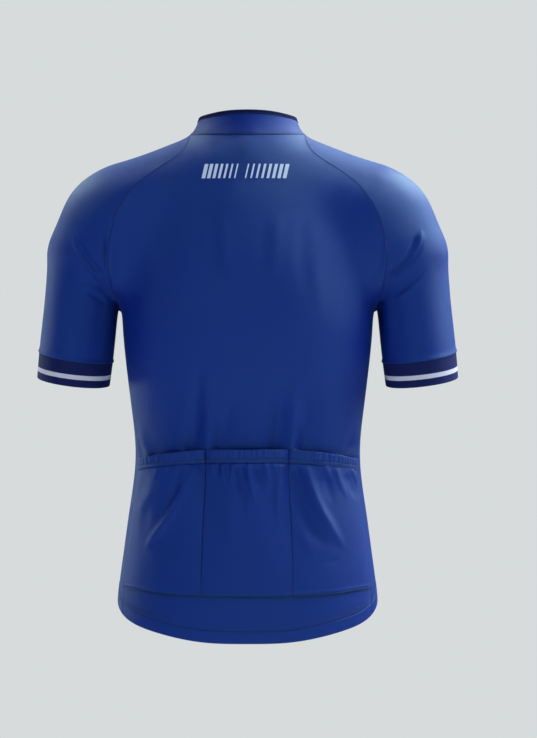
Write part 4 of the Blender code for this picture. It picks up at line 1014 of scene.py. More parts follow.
def striped_finish():
    """Navy rib with a pale stripe between two heights above the lower edge, read from the cloth's own UVs."""
    finish = cloth_finish("navy_rib_striped", NAVY, 0.65, 0.03, NAVY_SHEEN, 0.0012, 0.0003, 0.1)
    tree = finish.node_tree
    shader = tree.nodes["Principled BSDF"]
    uv = add_node(tree, "ShaderNodeUVMap", -900, 600, uv_map="cloth")
    parts = add_node(tree, "ShaderNodeSeparateXYZ", -750, 600)
    tree.links.new(uv.outputs["UV"], parts.inputs[0])
    height = sums(tree, -600, 600, "SUBTRACT", (CUFF_HEIGHT + CUFF_TUCK) * MM, parts.outputs[1])
    above = sums(tree, -450, 650, "GREATER_THAN", height, STRIPE_FROM)
    below = sums(tree, -450, 550, "LESS_THAN", height, STRIPE_TO)
    stripe = sums(tree, -300, 600, "MULTIPLY", above, below)
    paint = add_node(tree, "ShaderNodeMix", -150, 500, data_type="RGBA")
    tree.links.new(stripe, paint.inputs[0])
    tree.links.new(shader.inputs["Base Color"].links[0].from_socket, paint.inputs[6])
    paint.inputs[7].default_value = (*STRIPE, 1.0)
    tree.links.new(paint.outputs[2], shader.inputs["Base Color"])
    return finish


striped_rib = striped_finish()
cuff_down = close_set(CUFF_HEIGHT + CUFF_TUCK, step=1.6)[:, None]
cuff_grid = sleeve_point(cuff_station - CUFF_TUCK + (CUFF_HEIGHT + CUFF_TUCK) * cuff_down,
                         even_turn + 0 * cuff_down)
cuff_normals = outward(cuff_grid)
for side, _ in SIDES:
    cuff, _ = sewn_cloth("cuff_cloth_" + side, cuff_grid, cuff_normals, CUFF_WALL, striped_rib,
                         ("bottom", "top"), ring=True, mirror=side == "left")
    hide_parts("cuff_" + side)

# ================================================================ collar and binding
# A low stand of doubled knit, sewn on with a twin needle, its top edge bound with a narrow navy tape.
# Inside, a flat knit tape covers its seam.
BINDING_HEIGHT = 4.6
BINDING_WALL = 2.6
BINDING_OVERLAP = 1.6
BINDING_PROUD = 0.5
BINDING_ROUND = 1.2
COLLAR_WALL = 1.4
COLLAR_RIDGE = 0.6
COLLAR_ROWS = (1.2, 4.4)
COLLAR_STEP = (4.8, 6.0)

# How the collar's rows are drawn in beside the zip: over how many degrees, and their usual height
COLLAR_END = 12.0
COLLAR_HEIGHT = 24.0
collar_angles = np.concatenate([
    -collar_front_angles[::-1], -collar_side_angles[1:-1], collar_back_angles[1:-1],
    collar_side_angles[::-1][1:-1], collar_front_angles])
collar_angles = np.sort(np.unique(np.round(collar_angles, 6)))
collar_reach = np.abs(collar_angles)


def collar_row(height):
    """Points round the neck at heights above the collar line, ending square beside the zip."""
    row = neck_point(collar_angles, height)
    end = zip_points(ZIP_HALF_WIDTH, height[-1:])[0]
    pull = np.clip((collar_reach - collar_reach[-1] + COLLAR_END) / COLLAR_END, 0, 1)[:, None] ** 3
    sides = np.where(collar_angles[:, None] < 0, MIRROR, 1)
    return row + pull * (end - row[-1]) * sides


collar_up = close_set(COLLAR_HEIGHT, step=FINE_STEP)
seam_height, top_height = COLLAR_SEAM_HEIGHT(collar_reach), COLLAR_TOP_HEIGHT(collar_reach)
collar_grid = np.stack([collar_row(seam_height + (top_height - seam_height) * up) for up in collar_up])
collar_normals = outward(collar_grid)
above_seam = edge_distance(collar_grid, ("bottom",))
seam_ridge = COLLAR_RIDGE * (1 - eased(above_seam, *COLLAR_STEP)) + pulled_down(above_seam, *COLLAR_ROWS)
collar_knit = cloth_finish("royal_collar_knit", ROYAL, 0.56, 0.02, ROYAL_SHEEN, specular=0.20)
# Painted shade along the collar seam and its stitch rows.
collar, collar_face = sewn_cloth(
    "collar_cloth", inset(collar_grid, collar_normals, SEAM_GAP / 2), collar_normals, COLLAR_WALL,
    collar_knit, ALL_EDGES, seam_ridge, painted_shade=painted_shade_rows(above_seam, (0.0, *COLLAR_ROWS)))
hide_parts("collar")


def swept(name, centres, side, up, outline, finish):
    """Closed bar: an outline in (side, up) carried along a line of centres, with flat ends."""
    rings = centres[:, None] + outline[None, :, :1] * side[:, None] + outline[None, :, 1:] * up[:, None]
    rows, cols = rings.shape[:2]
    node = np.arange(rows * cols).reshape(rows, cols)
    after = np.roll(node, -1, 1)
    quads = np.stack([node[:-1], after[:-1], after[1:], node[1:]], -1).reshape(-1, 4)
    round_run = run_along(np.concatenate([outline, outline[:1]])) * MM
    place = np.stack(np.broadcast_arrays(run_along(centres)[:, None] * MM, round_run), -1)
    uvs = np.stack([place[:-1, :-1], place[:-1, 1:], place[1:, 1:], place[1:, :-1]], -2).reshape(-1, 4, 2)
    ends = [node[0][::-1], node[-1]]
    if np.cross(side[0], up[0]) @ (centres[1] - centres[0]) < 0:
        quads, uvs, ends = quads[:, ::-1], uvs[:, ::-1], [end[::-1] for end in ends]
    faces = quads.tolist() + [end.tolist() for end in ends]
    uvs = np.concatenate([uvs.reshape(-1, 2), np.zeros((2 * cols, 2))])
    return made_mesh(name, rings.reshape(-1, 3), faces, finish, "garment", uvs)


def rounded_outline(width, height, radius):
    """Rounded rectangle as a closed outline, counter-clockwise, with five points to a corner."""
    turn = np.linspace(0, np.pi / 2, 5)
    corners = []
    for k, (sx, sy) in enumerate(((1, 1), (-1, 1), (-1, -1), (1, -1))):
        angle = turn + k * np.pi / 2
        corners.append(np.stack([sx * (width / 2 - radius) + radius * np.cos(angle),
                                 sy * (height / 2 - radius) + radius * np.sin(angle)], -1))
    return np.concatenate(corners)


DARK_NAVY = (0.006, 0.008, 0.038)
navy_tape = cloth_finish("navy_binding_tape", DARK_NAVY, 0.8, 0.02, NAVY_SHEEN, wale=0.0006, specular=0.02)
binding_low = collar_row(top_height - BINDING_OVERLAP)
binding_top = collar_row(top_height + BINDING_HEIGHT)
binding_normals = outward((binding_low + binding_top) / 2)
binding_up = binding_top - binding_low
binding_rise = np.linalg.norm(binding_up, axis=-1, keepdims=True)
binding_up = binding_up / binding_rise
binding_middle = (binding_low + binding_top) / 2 - binding_normals * (BINDING_WALL / 2 - BINDING_PROUD)
binding = swept("binding_tape", binding_middle, binding_normals, binding_up,
                rounded_outline(BINDING_WALL, BINDING_HEIGHT + BINDING_OVERLAP, BINDING_ROUND), navy_tape)
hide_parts("collar_binding")

# A flat knit tape covers the collar seam inside the neck, and shows through the open neck from the front.
NECK_TAPE_WIDTH = 10.0
NECK_TAPE_WALL = 0.7
NECK_TAPE_DEPTH = 2.1
NECK_TAPE_ROUND = 0.3

neck_line = collar_row(seam_height)
neck_normals = collar_normals[0]
neck_up = collar_row(seam_height + NECK_TAPE_WIDTH / 2) - collar_row(seam_height - NECK_TAPE_WIDTH / 2)
neck_up = neck_up / np.linalg.norm(neck_up, axis=-1, keepdims=True)
neck_tape = swept("neck_seam_tape", neck_line - neck_normals * NECK_TAPE_DEPTH, neck_normals, neck_up,
                  rounded_outline(NECK_TAPE_WALL, NECK_TAPE_WIDTH, NECK_TAPE_ROUND), collar_knit)

# ================================================================ rear pockets
# Three patch pockets cut as one strip, sewn down at the bottom, the side seams and two dividers.
# The elastic above draws their tops in, so gathers fan out from it.
POCKET_SPLIT = 0.307
POCKET_BULGE = 9.0
POCKET_CREASES = (
    (-62, -432, -92, -490, -133, -549, 7.5, 4.6, 0.10, 0.35),
    (-96, -496, -112, -522, -133, -549, 4.0, 1.2, 0.4, 0.3),
    (-86, -446, -100, -490, -124, -528, 8.5, -3.0, 0.3, 0.35),
    (-117, -464, -128, -484, -141, -501, 6.5, 1.5, 0.45, 0.3),
    (-126, -444, -132, -464, -140, -482, 7.5, -1.6, 0.3, 0.4),
    (-124, -488, -129, -508, -133, -528, 7.0, -1.2, 0.4, 0.4),
    (-77, -434, -81, -450, -86, -466, 3.0, 1.4, 0.05, 0.7),
    (-96, -436, -101, -450, -106, -466, 3.2, -1.3, 0.05, 0.7),
    (-88, -436, -92, -448, -96, -460, 2.8, 1.0, 0.05, 0.7),
    (-111, -438, -115, -450, -120, -462, 3.0, 1.0, 0.05, 0.7),
    (-128, -530, -118, -556, -108, -578, 9.0, 1.0, 0.5, 0.4),
    (-84, -505, -94, -535, -106, -560, 10.0, -1.2, 0.5, 0.4),
    (74, -432, 90, -490, 129, -551, 6.8, 5.0, 0.15, 0.35),
    (60, -434, 76, -496, 107, -549, 11.0, -4.2, 0.12, 0.35),
    (96, -434, 102, -449, 109, -464, 3.2, 1.6, 0.05, 0.7),
    (110, -438, 117, -462, 129, -487, 3.4, 2.0, 0.15, 0.5),
    (98, -450, 103, -470, 110, -492, 5.0, -1.8, 0.3, 0.5),
    (129, -440, 137, -454, 144, -471, 2.6, 1.8, 0.2, 0.4),
    (122, -446, 131, -466, 140, -486, 5.0, -1.6, 0.3, 0.4),
    (66, -434, 70, -444, 73, -456, 2.8, 1.4, 0.05, 0.7),
    (94, -563, 109, -561, 124, -556, 5.0, -0.8, 0.5, 0.5),
    (66, -500, 74, -530, 88, -560, 8.0, 1.2, 0.5, 0.5),
    (-45, -433, -45, -443, -45, -454, 3.4, 2.1, 0.05, 0.8),
    (-31, -433, -31, -447, -31, -463, 3.7, 2.4, 0.05, 0.8),
    (-18, -433, -19, -448, -22, -466, 3.4, 2.4, 0.05, 0.8),
    (-9, -434, -6, -470, -4, -514, 5.8, -3.3, 0.1, 0.7),
    (1, -433, 5, -459, 12, -494, 4.4, 3.3, 0.05, 0.7),
    (22, -433, 26, -447, 32, -464, 3.7, 3.0, 0.05, 0.7),
    (14, -438, 17, -460, 20, -484, 5.2, -2.3, 0.1, 0.7),
    (43, -433, 41, -477, 40, -527, 6.9, 3.3, 0.05, 0.6),
    (33, -433, 35, -442, 37, -452, 3.0, 1.6, 0.05, 0.8),
    (-24, -470, -23, -505, -22, -545, 9.2, 1.8, 0.5, 0.5),
    (-38, -434, -38, -448, -39, -464, 3.4, -1.9, 0.05, 0.8),
    (-25, -434, -25, -446, -26, -460, 3.0, -1.8, 0.05, 0.8),
)
POCKET_STEP = 1.7
POCKET_FOLD = 0.5
POCKET_ROW = 1.3
DIVIDER_GAP = 0.2
POCKET_FOLD_STEP = (4.5, 6.0)
# Least clearance from the back, and how far from its sewn edges a pocket stays flat
LEAST_LIFT = 0.35
SEWN_FLAT = 7.0
# Name, share of the half back where it starts and where it ends, width
POCKETS = (
    ("left", -1.0, -POCKET_SPLIT, 125.0), ("middle", -POCKET_SPLIT, POCKET_SPLIT, 118.0),
    ("right", POCKET_SPLIT, 1.0, 125.0),
)
pocket_zone = zone_heights[POCKET_BOTTOM]
band_zone = zone_heights[BAND_BOTTOM]


def pocket_grid(first, last, zone, ups, across):
    """Points and normals of the back under one pocket, between two shares of the half back."""
    angle, level, _ = between_lines(first + (last - first) * across, zone, ups)
    base = torso_point(angle, level)
    return base, outward(base)


def pocket_lift(across, rise):
    """Clearance of a pocket from the back: nothing at its sewn edges, fullest in the middle of its mouth."""
    dome = np.sin(np.pi * across) ** 0.75
    return LEAST_LIFT + POCKET_BULGE * eased(rise, -0.25, 1.0)[:, None] * dome[None, :]


total_rise = pocket_zone + band_zone
pocket_faces = {}
for side, first, last, width in POCKETS:
    across = close_set(width, step=POCKET_STEP)
    ups = close_set(pocket_zone, high=False, step=POCKET_STEP)
    base, normals = pocket_grid(first, last, POCKET_BOTTOM, ups, across)
    lift = pocket_lift(across, ups * pocket_zone / total_rise)
    creases = crease_height(base[..., 0], base[..., 2], POCKET_CREASES)
    room = eased(edge_distance(base, ("bottom", "left", "right")), 0, SEWN_FLAT)
    above = edge_distance(base, ("bottom",))
    lift = np.maximum(lift + creases * room, LEAST_LIFT) + KNIT_WALL
    lift += POCKET_FOLD * (1 - eased(above, *POCKET_FOLD_STEP)) + pulled_down(above, POCKET_ROW)
    # Painted shade along the pocket's bottom edge and its stitch row.
    pocket, pocket_faces[side] = sewn_cloth(
        "pocket_cloth_" + side, inset(base, normals, DIVIDER_GAP / 2), normals, KNIT_WALL, royal_knit,
        ("bottom", "left", "right"), lift, painted_shade=painted_shade_rows(above, (0.0, POCKET_ROW), 0.5))
    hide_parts("pocket_" + side)

# ================================================================ elastic bands
# Each pocket mouth is a casing of the same knit, folded over elastic and sewn along both its edges.
# The elastic draws it in, so its face ripples between the stitching.
BAND_WALL = 1.8
BAND_ROWS = (1.2, 5.9)
BAND_STEP = 1.3
BAND_PROUD = 0.4
BAND_FLAT = 5.0
# Least and most of the ripples' distance apart, height and half width
RIPPLE_PITCH = (4.5, 9.5)
RIPPLE_HEIGHT = (0.55, 1.45)
RIPPLE_WIDTH = (1.6, 2.6)
bands = np.random.default_rng(11)
elastic_knit = cloth_finish("royal_elastic", ROYAL, 0.52, 0.03, ROYAL_SHEEN, 0.0011, 0.0003, 0.38)
band_faces = {}
for side, first, last, width in POCKETS:
    across = close_set(width, step=BAND_STEP)
    ups = close_set(band_zone, step=FINE_STEP)
    base, normals = pocket_grid(first, last, BAND_BOTTOM, ups, across)
    lift = pocket_lift(across, (pocket_zone + ups * band_zone) / total_rise)
    ripples = np.zeros(len(across))
    centre = -3.0
    while centre < width:
        centre += bands.uniform(*RIPPLE_PITCH)
        height = bands.uniform(*RIPPLE_HEIGHT)
        ripples += height * np.exp(-((across * width - centre) / bands.uniform(*RIPPLE_WIDTH)) ** 2)
    face = eased(ups, 0.22, 0.42) * (1 - 0.5 * eased(ups, 0.85, 1.0))
    low_creases = crease_height(base[..., 0], base[..., 2], POCKET_CREASES)
    room = eased(edge_distance(base, ("left", "right")), 0, BAND_FLAT)
    relief = (BAND_PROUD + low_creases * 0.5 + face[:, None] * ripples[None, :]) * room
    above = edge_distance(base, ("bottom",))
    lift = np.maximum(lift + relief, LEAST_LIFT) + BAND_WALL + pulled_down(above, *BAND_ROWS)
    # Painted shade along the band's stitch rows.
    band, band_faces[side] = sewn_cloth(
        "band_cloth_" + side, inset(base, normals, DIVIDER_GAP / 2), normals, BAND_WALL, elastic_knit,
        ALL_EDGES, lift, painted_shade=painted_shade_rows(above, BAND_ROWS))
    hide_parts("pocket_band_" + side)

# ================================================================ front zip
# A full-length coil zip: woven tape down the middle of the front, two meshed rows of coil turns,
# and a cast slider below the collar with a stamped pull that swings on its pin.
TAPE_WALL = 1.3
COIL_RISE = 0.75
COIL_HALF_WIDTH = 2.2
COIL_PITCH = 1.5
COIL_THREAD = 0.42
SLIDER_DROP = 13.0
PIN_RISE = 2.6
BASE_LONG, BASE_WIDE, BASE_THICK = 11.0, 9.0, 2.0
SLIDER_CLEARANCE = 0.35
CHAIN_THICKNESS = 1.3
LUG_SPACING, LUG_THICKNESS, LUG_RADIUS = 5.4, 1.1, 1.7
PIN_RADIUS = 0.75
EYE_BORE, EYE_RADIUS, EYE_WIDTH = 1.15, 2.1, 3.4
TAB_LONG, TAB_WIDE, TAB_THICK = 26.0, 7.0, 1.3
# How far the tape ends below the zip's top, and the coil above the hem and below the top
TAPE_SHORT = 0.6
COIL_FROM, COIL_SHORT = 4.0, 6.0
# Slant of each coil turn, and how far it reaches past the middle
COIL_SLANT = 0.18
COIL_REACH = 0.55

zip_top = float(COLLAR_TOP_HEIGHT(180.0)) + BINDING_HEIGHT
tape_levels = hem_front + (zip_top - TAPE_SHORT - hem_front) * close_set(zip_top - hem_front, step=3.0)
tape_across = ZIP_HALF_WIDTH * (1 - 2 * close_set(2 * ZIP_HALF_WIDTH, step=1.4))
tape_grid = zip_points(tape_across[None, :], tape_levels[:, None])
tape_normals = outward(tape_grid)
woven_tape = cloth_finish("woven_zip_tape", (0.004, 0.018, 0.12), 0.6, 0.1, ROYAL_SHEEN, 0.0005, 0.0001)
tape, _ = sewn_cloth("tape_cloth", inset(tape_grid, tape_normals, -SEAM_GAP / 3), tape_normals, TAPE_WALL,
                     woven_tape, ALL_EDGES)
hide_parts("zip_tape")


def hard_finish(name, colour, metallic, low, high):
    """Hard material whose roughness varies between two values in fine scuffs."""
    finish = bpy.data.materials.new(name)
    finish.use_nodes = True
    tree = finish.node_tree
    shader = tree.nodes["Principled BSDF"]
    shader.inputs["Base Color"].default_value = (*colour, 1.0)
    shader.inputs["Metallic"].default_value = metallic
    place = add_node(tree, "ShaderNodeTexCoord", -800, 0)
    noise = add_node(tree, "ShaderNodeTexNoise", -600, 0)
    noise.inputs["Scale"].default_value = 900.0
    noise.inputs["Detail"].default_value = 4.0
    tree.links.new(place.outputs["Object"], noise.inputs["Vector"])
    rough = sums(tree, -200, 0, "ADD", low, sums(tree, -400, 0, "MULTIPLY", noise.outputs[0], high - low))
    tree.links.new(rough, shader.inputs["Roughness"])
    return finish


def beads(starts, ends, normals, radius, sides=5, arch=0.0):
    """Points and faces of many small spindles, each two rings and two tips between a start and an end."""
    along = ends - starts
    across = np.cross(along, normals)
    across /= np.linalg.norm(across, axis=-1, keepdims=True)
    turn = np.arange(sides) * 2 * np.pi / sides
    ring = np.stack([np.cos(turn), np.sin(turn)], -1)
    at = np.concatenate([[0.0], np.full(sides, 0.22), np.full(sides, 0.78), [1.0]])
    wide = np.concatenate([[[0, 0]], ring, ring, [[0, 0]]])
    rise = arch * np.sin(np.pi * at) - 0.3 * radius * np.isin(at, (0.0, 1.0))
    points = (starts[:, None] + at[None, :, None] * along[:, None]
              + radius * wide[None, :, :1] * across[:, None]
              + (radius * wide[None, :, 1:] + rise[None, :, None]) * normals[:, None])
    k = np.arange(sides)
    after = (k + 1) % sides
    last = 2 * sides + 1
    low, low_next = 1 + k, 1 + after
    high, high_next = low + sides, low_next + sides
    kinds = ((0 * k, low, low_next), (0 * k + last, high_next, high),
             (low, high, high_next), (low, high_next, low_next))
    faces = np.concatenate([np.stack(corners, -1) for corners in kinds])
    shift = (last + 1) * np.arange(len(starts))[:, None, None]
    return points.reshape(-1, 3), (faces[None] + shift).reshape(-1, 3)


turns = int((zip_top - COIL_SHORT - hem_front - COIL_FROM) / COIL_PITCH)
turn_levels = hem_front + COIL_FROM + COIL_PITCH * np.arange(2 * turns) / 2
turn_side = np.where(np.arange(2 * turns) % 2 == 0, 1.0, -1.0)
coil_from = zip_points(turn_side * COIL_HALF_WIDTH, turn_levels - COIL_SLANT)
coil_to = zip_points(-turn_side * COIL_REACH, turn_levels + COIL_SLANT)
coil_out = outward(zip_points(0 * turn_levels, turn_levels))
coil_points, coil_faces = beads(coil_from + COIL_RISE * coil_out, coil_to + COIL_RISE * coil_out, coil_out,
                                COIL_THREAD, sides=6, arch=0.15)
coil_nylon = hard_finish("coil_nylon", (0.018, 0.02, 0.03), 0.0, 0.32, 0.5)
coil = made_mesh("coil_turns", coil_points, coil_faces, coil_nylon, "garment")
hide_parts("zip_chain")

slider_level = zip_top - SLIDER_DROP
seat = zip_points(0.0, np.array([slider_level - 5, slider_level, slider_level + 5]))
zip_up = (seat[2] - seat[0]) / np.linalg.norm(seat[2] - seat[0])
zip_right = np.array([1.0, 0.0, 0.0])
zip_out = np.cross(zip_right, zip_up)
zip_out *= np.sign(zip_out[1])
pin_centre = seat[1] + zip_out * (SEAM_GAP + CHAIN_THICKNESS + SLIDER_CLEARANCE + BASE_THICK + PIN_RISE)
ZIP_PLANE = np.stack([zip_up, zip_right, zip_out])
PIN_PLANE = np.stack([zip_out, zip_up, zip_right])


def smooth_outline(points):
    """Closed outline with each corner (place, radius) turned through an arc of eight points."""
    points = np.array(points, float)
    place, radius = points[:, :2], points[:, 2]
    parts = []
    for k in range(len(place)):
        back = place[k - 1] - place[k]
        ahead = place[(k + 1) % len(place)] - place[k]
        back, ahead = back / np.linalg.norm(back), ahead / np.linalg.norm(ahead)
        half = np.arccos(np.clip(back @ ahead, -1, 1)) / 2
        centre = place[k] + (back + ahead) / np.linalg.norm(back + ahead) * radius[k] / np.sin(half)
        start = place[k] + back * radius[k] / np.tan(half) - centre
        end = place[k] + ahead * radius[k] / np.tan(half) - centre
        share = np.linspace(0, 1, 8)[:, None]
        span = np.arccos(np.clip(start @ end / radius[k] ** 2, -1, 1))
        arc = np.sin((1 - share) * span) * start + np.sin(share * span) * end
        parts.append(centre + arc / np.sin(span))
    return np.concatenate(parts)


def bevelled(outline, low, high, bevel, hole=None):
    """Plate between two heights over a closed outline, its rims rounded, with a hole of as many points."""
    ease = np.linspace(0, np.pi / 2, 4)
    heights = np.concatenate([low + bevel * (1 - np.cos(ease)), high - bevel * (1 - np.cos(ease[::-1]))])
    shrink = np.concatenate([bevel * (1 - np.sin(ease)), bevel * (1 - np.sin(ease[::-1]))])

    def rings(line, sign):
        """The outline at each height, drawn in where the rim rounds over."""
        tangent = np.roll(line, -1, 0) - np.roll(line, 1, 0)
        inward = np.stack([-tangent[:, 1], tangent[:, 0]], -1)
        inward /= np.linalg.norm(inward, axis=-1, keepdims=True)
        flat = line[None] + sign * shrink[:, None, None] * inward[None]
        return np.concatenate([flat, np.broadcast_to(heights[:, None, None], flat.shape[:2] + (1,))], -1)

    count = len(outline)
    outer = rings(outline, 1.0)
    node = np.arange(outer.shape[0] * count).reshape(-1, count)
    after = np.roll(node, -1, 1)
    faces = np.stack([node[:-1], after[:-1], after[1:], node[1:]], -1).reshape(-1, 4).tolist()
    if hole is None:
        return outer.reshape(-1, 3), faces + [node[0][::-1].tolist(), node[-1].tolist()]
    inner = rings(hole, -1.0)
    within = node + outer.shape[0] * count
    next_in = np.roll(within, -1, 1)
    faces += np.stack([within[:-1], within[1:], next_in[1:], next_in[:-1]], -1).reshape(-1, 4).tolist()
    faces += np.stack([node[-1], after[-1], next_in[-1], within[-1]], -1).tolist()
    faces += np.stack([after[0], node[0], within[0], next_in[0]], -1).tolist()
    return np.concatenate([outer.reshape(-1, 3), inner.reshape(-1, 3)]), faces


def circle(radius, count=40):
    """Closed round outline."""
    turn = np.linspace(0, 2 * np.pi, count, endpoint=False)
    return radius * np.stack([np.cos(turn), np.sin(turn)], -1)


def hardware(name, parts, finish, body):
    """One mesh of several solid parts, each (points, faces, plane) in its own plane through the pin."""
    points, faces, base = [], [], 0
    for local, local_faces, plane in parts:
        points.append(pin_centre + local @ plane)
        turn = -1 if np.linalg.det(plane) < 0 else 1
        faces += [[base + corner for corner in face[::turn]] for face in local_faces]
        base += len(local)
    return made_mesh(name, np.concatenate(points), faces, finish, body)


gunmetal = hard_finish("gunmetal", (0.11, 0.115, 0.125), 1.0, 0.26, 0.48)
half_long, half_wide = BASE_LONG / 2, BASE_WIDE / 2
# Corners of the slider's shield and of a lug: place in its plane, radius
shield = smooth_outline([
    (half_long, half_wide - 0.4, 1.6), (half_long, -half_wide + 0.4, 1.6), (0.5, -half_wide, 2.5),
    (-half_long, -half_wide + 1.5, 1.4), (-half_long, half_wide - 1.5, 1.4), (0.5, half_wide, 2.5)])
lug = smooth_outline([
    (-PIN_RISE - 0.5, -3.0, 0.3), (-PIN_RISE - 0.5, 3.0, 0.3), (-0.6, 2.2, 1.2),
    (LUG_RADIUS, 1.0, 0.9), (LUG_RADIUS, -1.0, 0.9), (-0.6, -2.2, 1.2)])
pin_half = (LUG_SPACING + LUG_THICKNESS) / 2
slider_parts = [(*bevelled(shield[::-1], -PIN_RISE - BASE_THICK, -PIN_RISE, 0.55), ZIP_PLANE)]
for middle in (-pin_half, pin_half):
    lug_from, lug_to = middle - LUG_THICKNESS / 2, middle + LUG_THICKNESS / 2
    slider_parts.append((*bevelled(lug[::-1], lug_from, lug_to, 0.25), PIN_PLANE))
slider_parts.append((*bevelled(circle(PIN_RADIUS, 20), -pin_half, pin_half, 0.15), PIN_PLANE))
slider = hardware("slider_body", slider_parts, gunmetal, "garment")
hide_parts("zip_slider")

eye_half, tab_half = EYE_WIDTH / 2, TAB_WIDE / 2
eye = (*bevelled(circle(EYE_RADIUS), -eye_half, eye_half, 0.2, hole=circle(EYE_BORE)), PIN_PLANE)
tab_low = -EYE_RADIUS * 0.5
tab_shape = smooth_outline([
    (-1.35, eye_half, 0.15), (-1.35, -eye_half, 0.15), (-4.6, -eye_half, 1.2), (-7.2, -tab_half, 1.6),
    (-TAB_LONG, -tab_half, 2.6), (-TAB_LONG, tab_half, 2.6), (-7.2, tab_half, 1.6), (-4.6, eye_half, 1.2)])
tab = (*bevelled(tab_shape, tab_low, tab_low + TAB_THICK, 0.35), ZIP_PLANE)
pull = hardware("pull_tab", [eye, tab], gunmetal, "zip_pull")
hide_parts("zip_pull")

# ================================================================ stitching
# Polyester thread in the cloth's blue, darkened to half of it as painted shade of the grooves it sits in, in
# rows of
# short raised stitches: twin rows at the collar, hem, zip and pocket mouths, and single rows along the raglan
# seams, pocket edges and cuffs.
# Distances of the rows from the edges of their pieces; the binding's from its middle line
SEAM_ROW = 1.8
ZIP_ROWS = (2.0, 4.6)
CUFF_ROW = 1.3
BINDING_ROW = -1.9
# Length of one stitch with its gap, the share of it that shows, the thread's radius and its lift
STITCH = 2.6
STITCH_SHOWS = 0.66
THREAD = 0.22
THREAD_LIFT = 0.03


def line_on(face, distance, edge="bottom"):
    """Points of a cloth's outer grid at one distance from an edge, measured along its rows or columns."""
    grid = face if edge in ("bottom", "top") else face.transpose(1, 0, 2)
    if edge in ("top", "right"):
        grid = grid[::-1]
    run = run_along(grid)
    after = np.clip((run < distance).sum(0), 1, len(run) - 1)
    pick = np.arange(grid.shape[1])
    share = ((distance - run[after - 1, pick]) / (run[after, pick] - run[after - 1, pick]))[:, None]
    return grid[after - 1, pick] * (1 - share) + grid[after, pick] * share


def seam_stitches(name, lines, finish):
    """Rows of stitches along lines of points, as one mesh of small spindles."""
    starts, ends, normals = [], [], []
    for line in lines:
        run = run_along(line)
        first = np.arange(STITCH / 2, run[-1] - STITCH, STITCH)
        at = [np.stack([np.interp(first + shift, run, line[:, axis]) for axis in range(3)], -1)
              for shift in (0.0, STITCH * STITCH_SHOWS)]
        outer = outward((at[0] + at[1]) / 2)
        starts.append(at[0] + THREAD_LIFT * outer)
        ends.append(at[1] + THREAD_LIFT * outer)
        normals.append(outer)
    points, faces = beads(*(np.concatenate(part) for part in (starts, ends, normals)), THREAD, arch=0.06)
    piece = made_mesh(name, points, faces, finish, "garment")


# The thread's colour holds painted shade: half the cloth's blue, so its rows read as dark grooves.
royal_thread_with_painted_shade = hard_finish("royal_thread_with_painted_shade", (0.0010, 0.006, 0.075), 0.0, 0.50, 0.70)
navy_thread = hard_finish("navy_thread", (0.006, 0.010, 0.060), 0.0, 0.45, 0.65)
raglan_from = len(side_heights)
stitch_lines = [line_on(collar_face, row) for row in COLLAR_ROWS]
stitch_lines += [line_on(back_face, row) for row in HEM_ROWS]
stitch_lines += [line_on(back_face, SEAM_ROW, edge)[raglan_from:] for edge in ("left", "right")]
stitch_lines += [line_on(back_face, SEAM_ROW, "top")]
for side, turned in SIDES:
    front, sleeve = front_faces[side], sleeve_faces[side]
    stitch_lines += [line * turned for line in (
        *(line_on(front, row) for row in HEM_ROWS), *(line_on(front, row, "right") for row in ZIP_ROWS),
        line_on(front, SEAM_ROW, "left")[raglan_from:], line_on(sleeve, SEAM_ROW),
        line_on(sleeve, CUFF_ROW, "top"))]
for side, pocket_face in pocket_faces.items():
    stitch_lines += [line_on(pocket_face, POCKET_ROW), *(line_on(band_faces[side], row) for row in BAND_ROWS)]
    stitch_lines += [line_on(pocket_face, POCKET_ROW, edge) for edge in ("left", "right")]
seam_stitches("seam_stitches", stitch_lines, royal_thread_with_painted_shade)
binding_line = binding_middle + binding_normals * BINDING_WALL / 2 + binding_up * BINDING_ROW
seam_stitches("binding_stitches", [binding_line], navy_thread)

# ================================================================ back motif
# Two runs of slanted pale bars between the shoulders, of no particular meaning.
# They are cut from thin flex film and heat-pressed on to the cloth, so they follow it.
MOTIF_Z = -54.0
MOTIF_HEIGHT = 19.0
MOTIF_SLANT = 0.22
MOTIF_CLEARANCE = 0.32
MOTIF_FILM = 0.25
# Each run of bars: left end, right end, width of its first bar, width of its last bar
BAR_RUNS = ((-57.0, -7.0, 4.8, 1.8), (-1.0, 57.0, 1.8, 4.8))
BAR_PITCH = 7.0


def bar_film():
    """Points and faces of thin bars that follow the cloth, each a grid between its two slanted sides."""
    points, faces, base = [], [], 0
    across = np.linspace(0, 1, 5)[None, :]
    up = np.linspace(-0.5, 0.5, 9)[:, None]
    for start, end, first, last in BAR_RUNS:
        count = int((end - start) / BAR_PITCH)
        for left, width in zip(start + BAR_PITCH * np.arange(count), np.linspace(first, last, count)):
            x = left + width * across + MOTIF_SLANT * MOTIF_HEIGHT * up
            cloth = facing_point(x, MOTIF_Z + MOTIF_HEIGHT * up + 0 * across, -1)
            normals = outward(cloth)
            lift = (worn_height(cloth, normals) + MOTIF_CLEARANCE)[..., None]
            bar, bar_faces, _ = wall_arrays(cloth + normals * (lift + MOTIF_FILM), cloth + normals * lift)
            points.append(bar)
            faces.append(bar_faces + base)
            base += len(bar)
    return np.concatenate(points), np.concatenate(faces)


pale_film = hard_finish("pale_flex_film", (0.42, 0.47, 0.62), 0.0, 0.5, 0.65)
motif = made_mesh("back_motif", *bar_film(), pale_film, "garment", smooth=False)

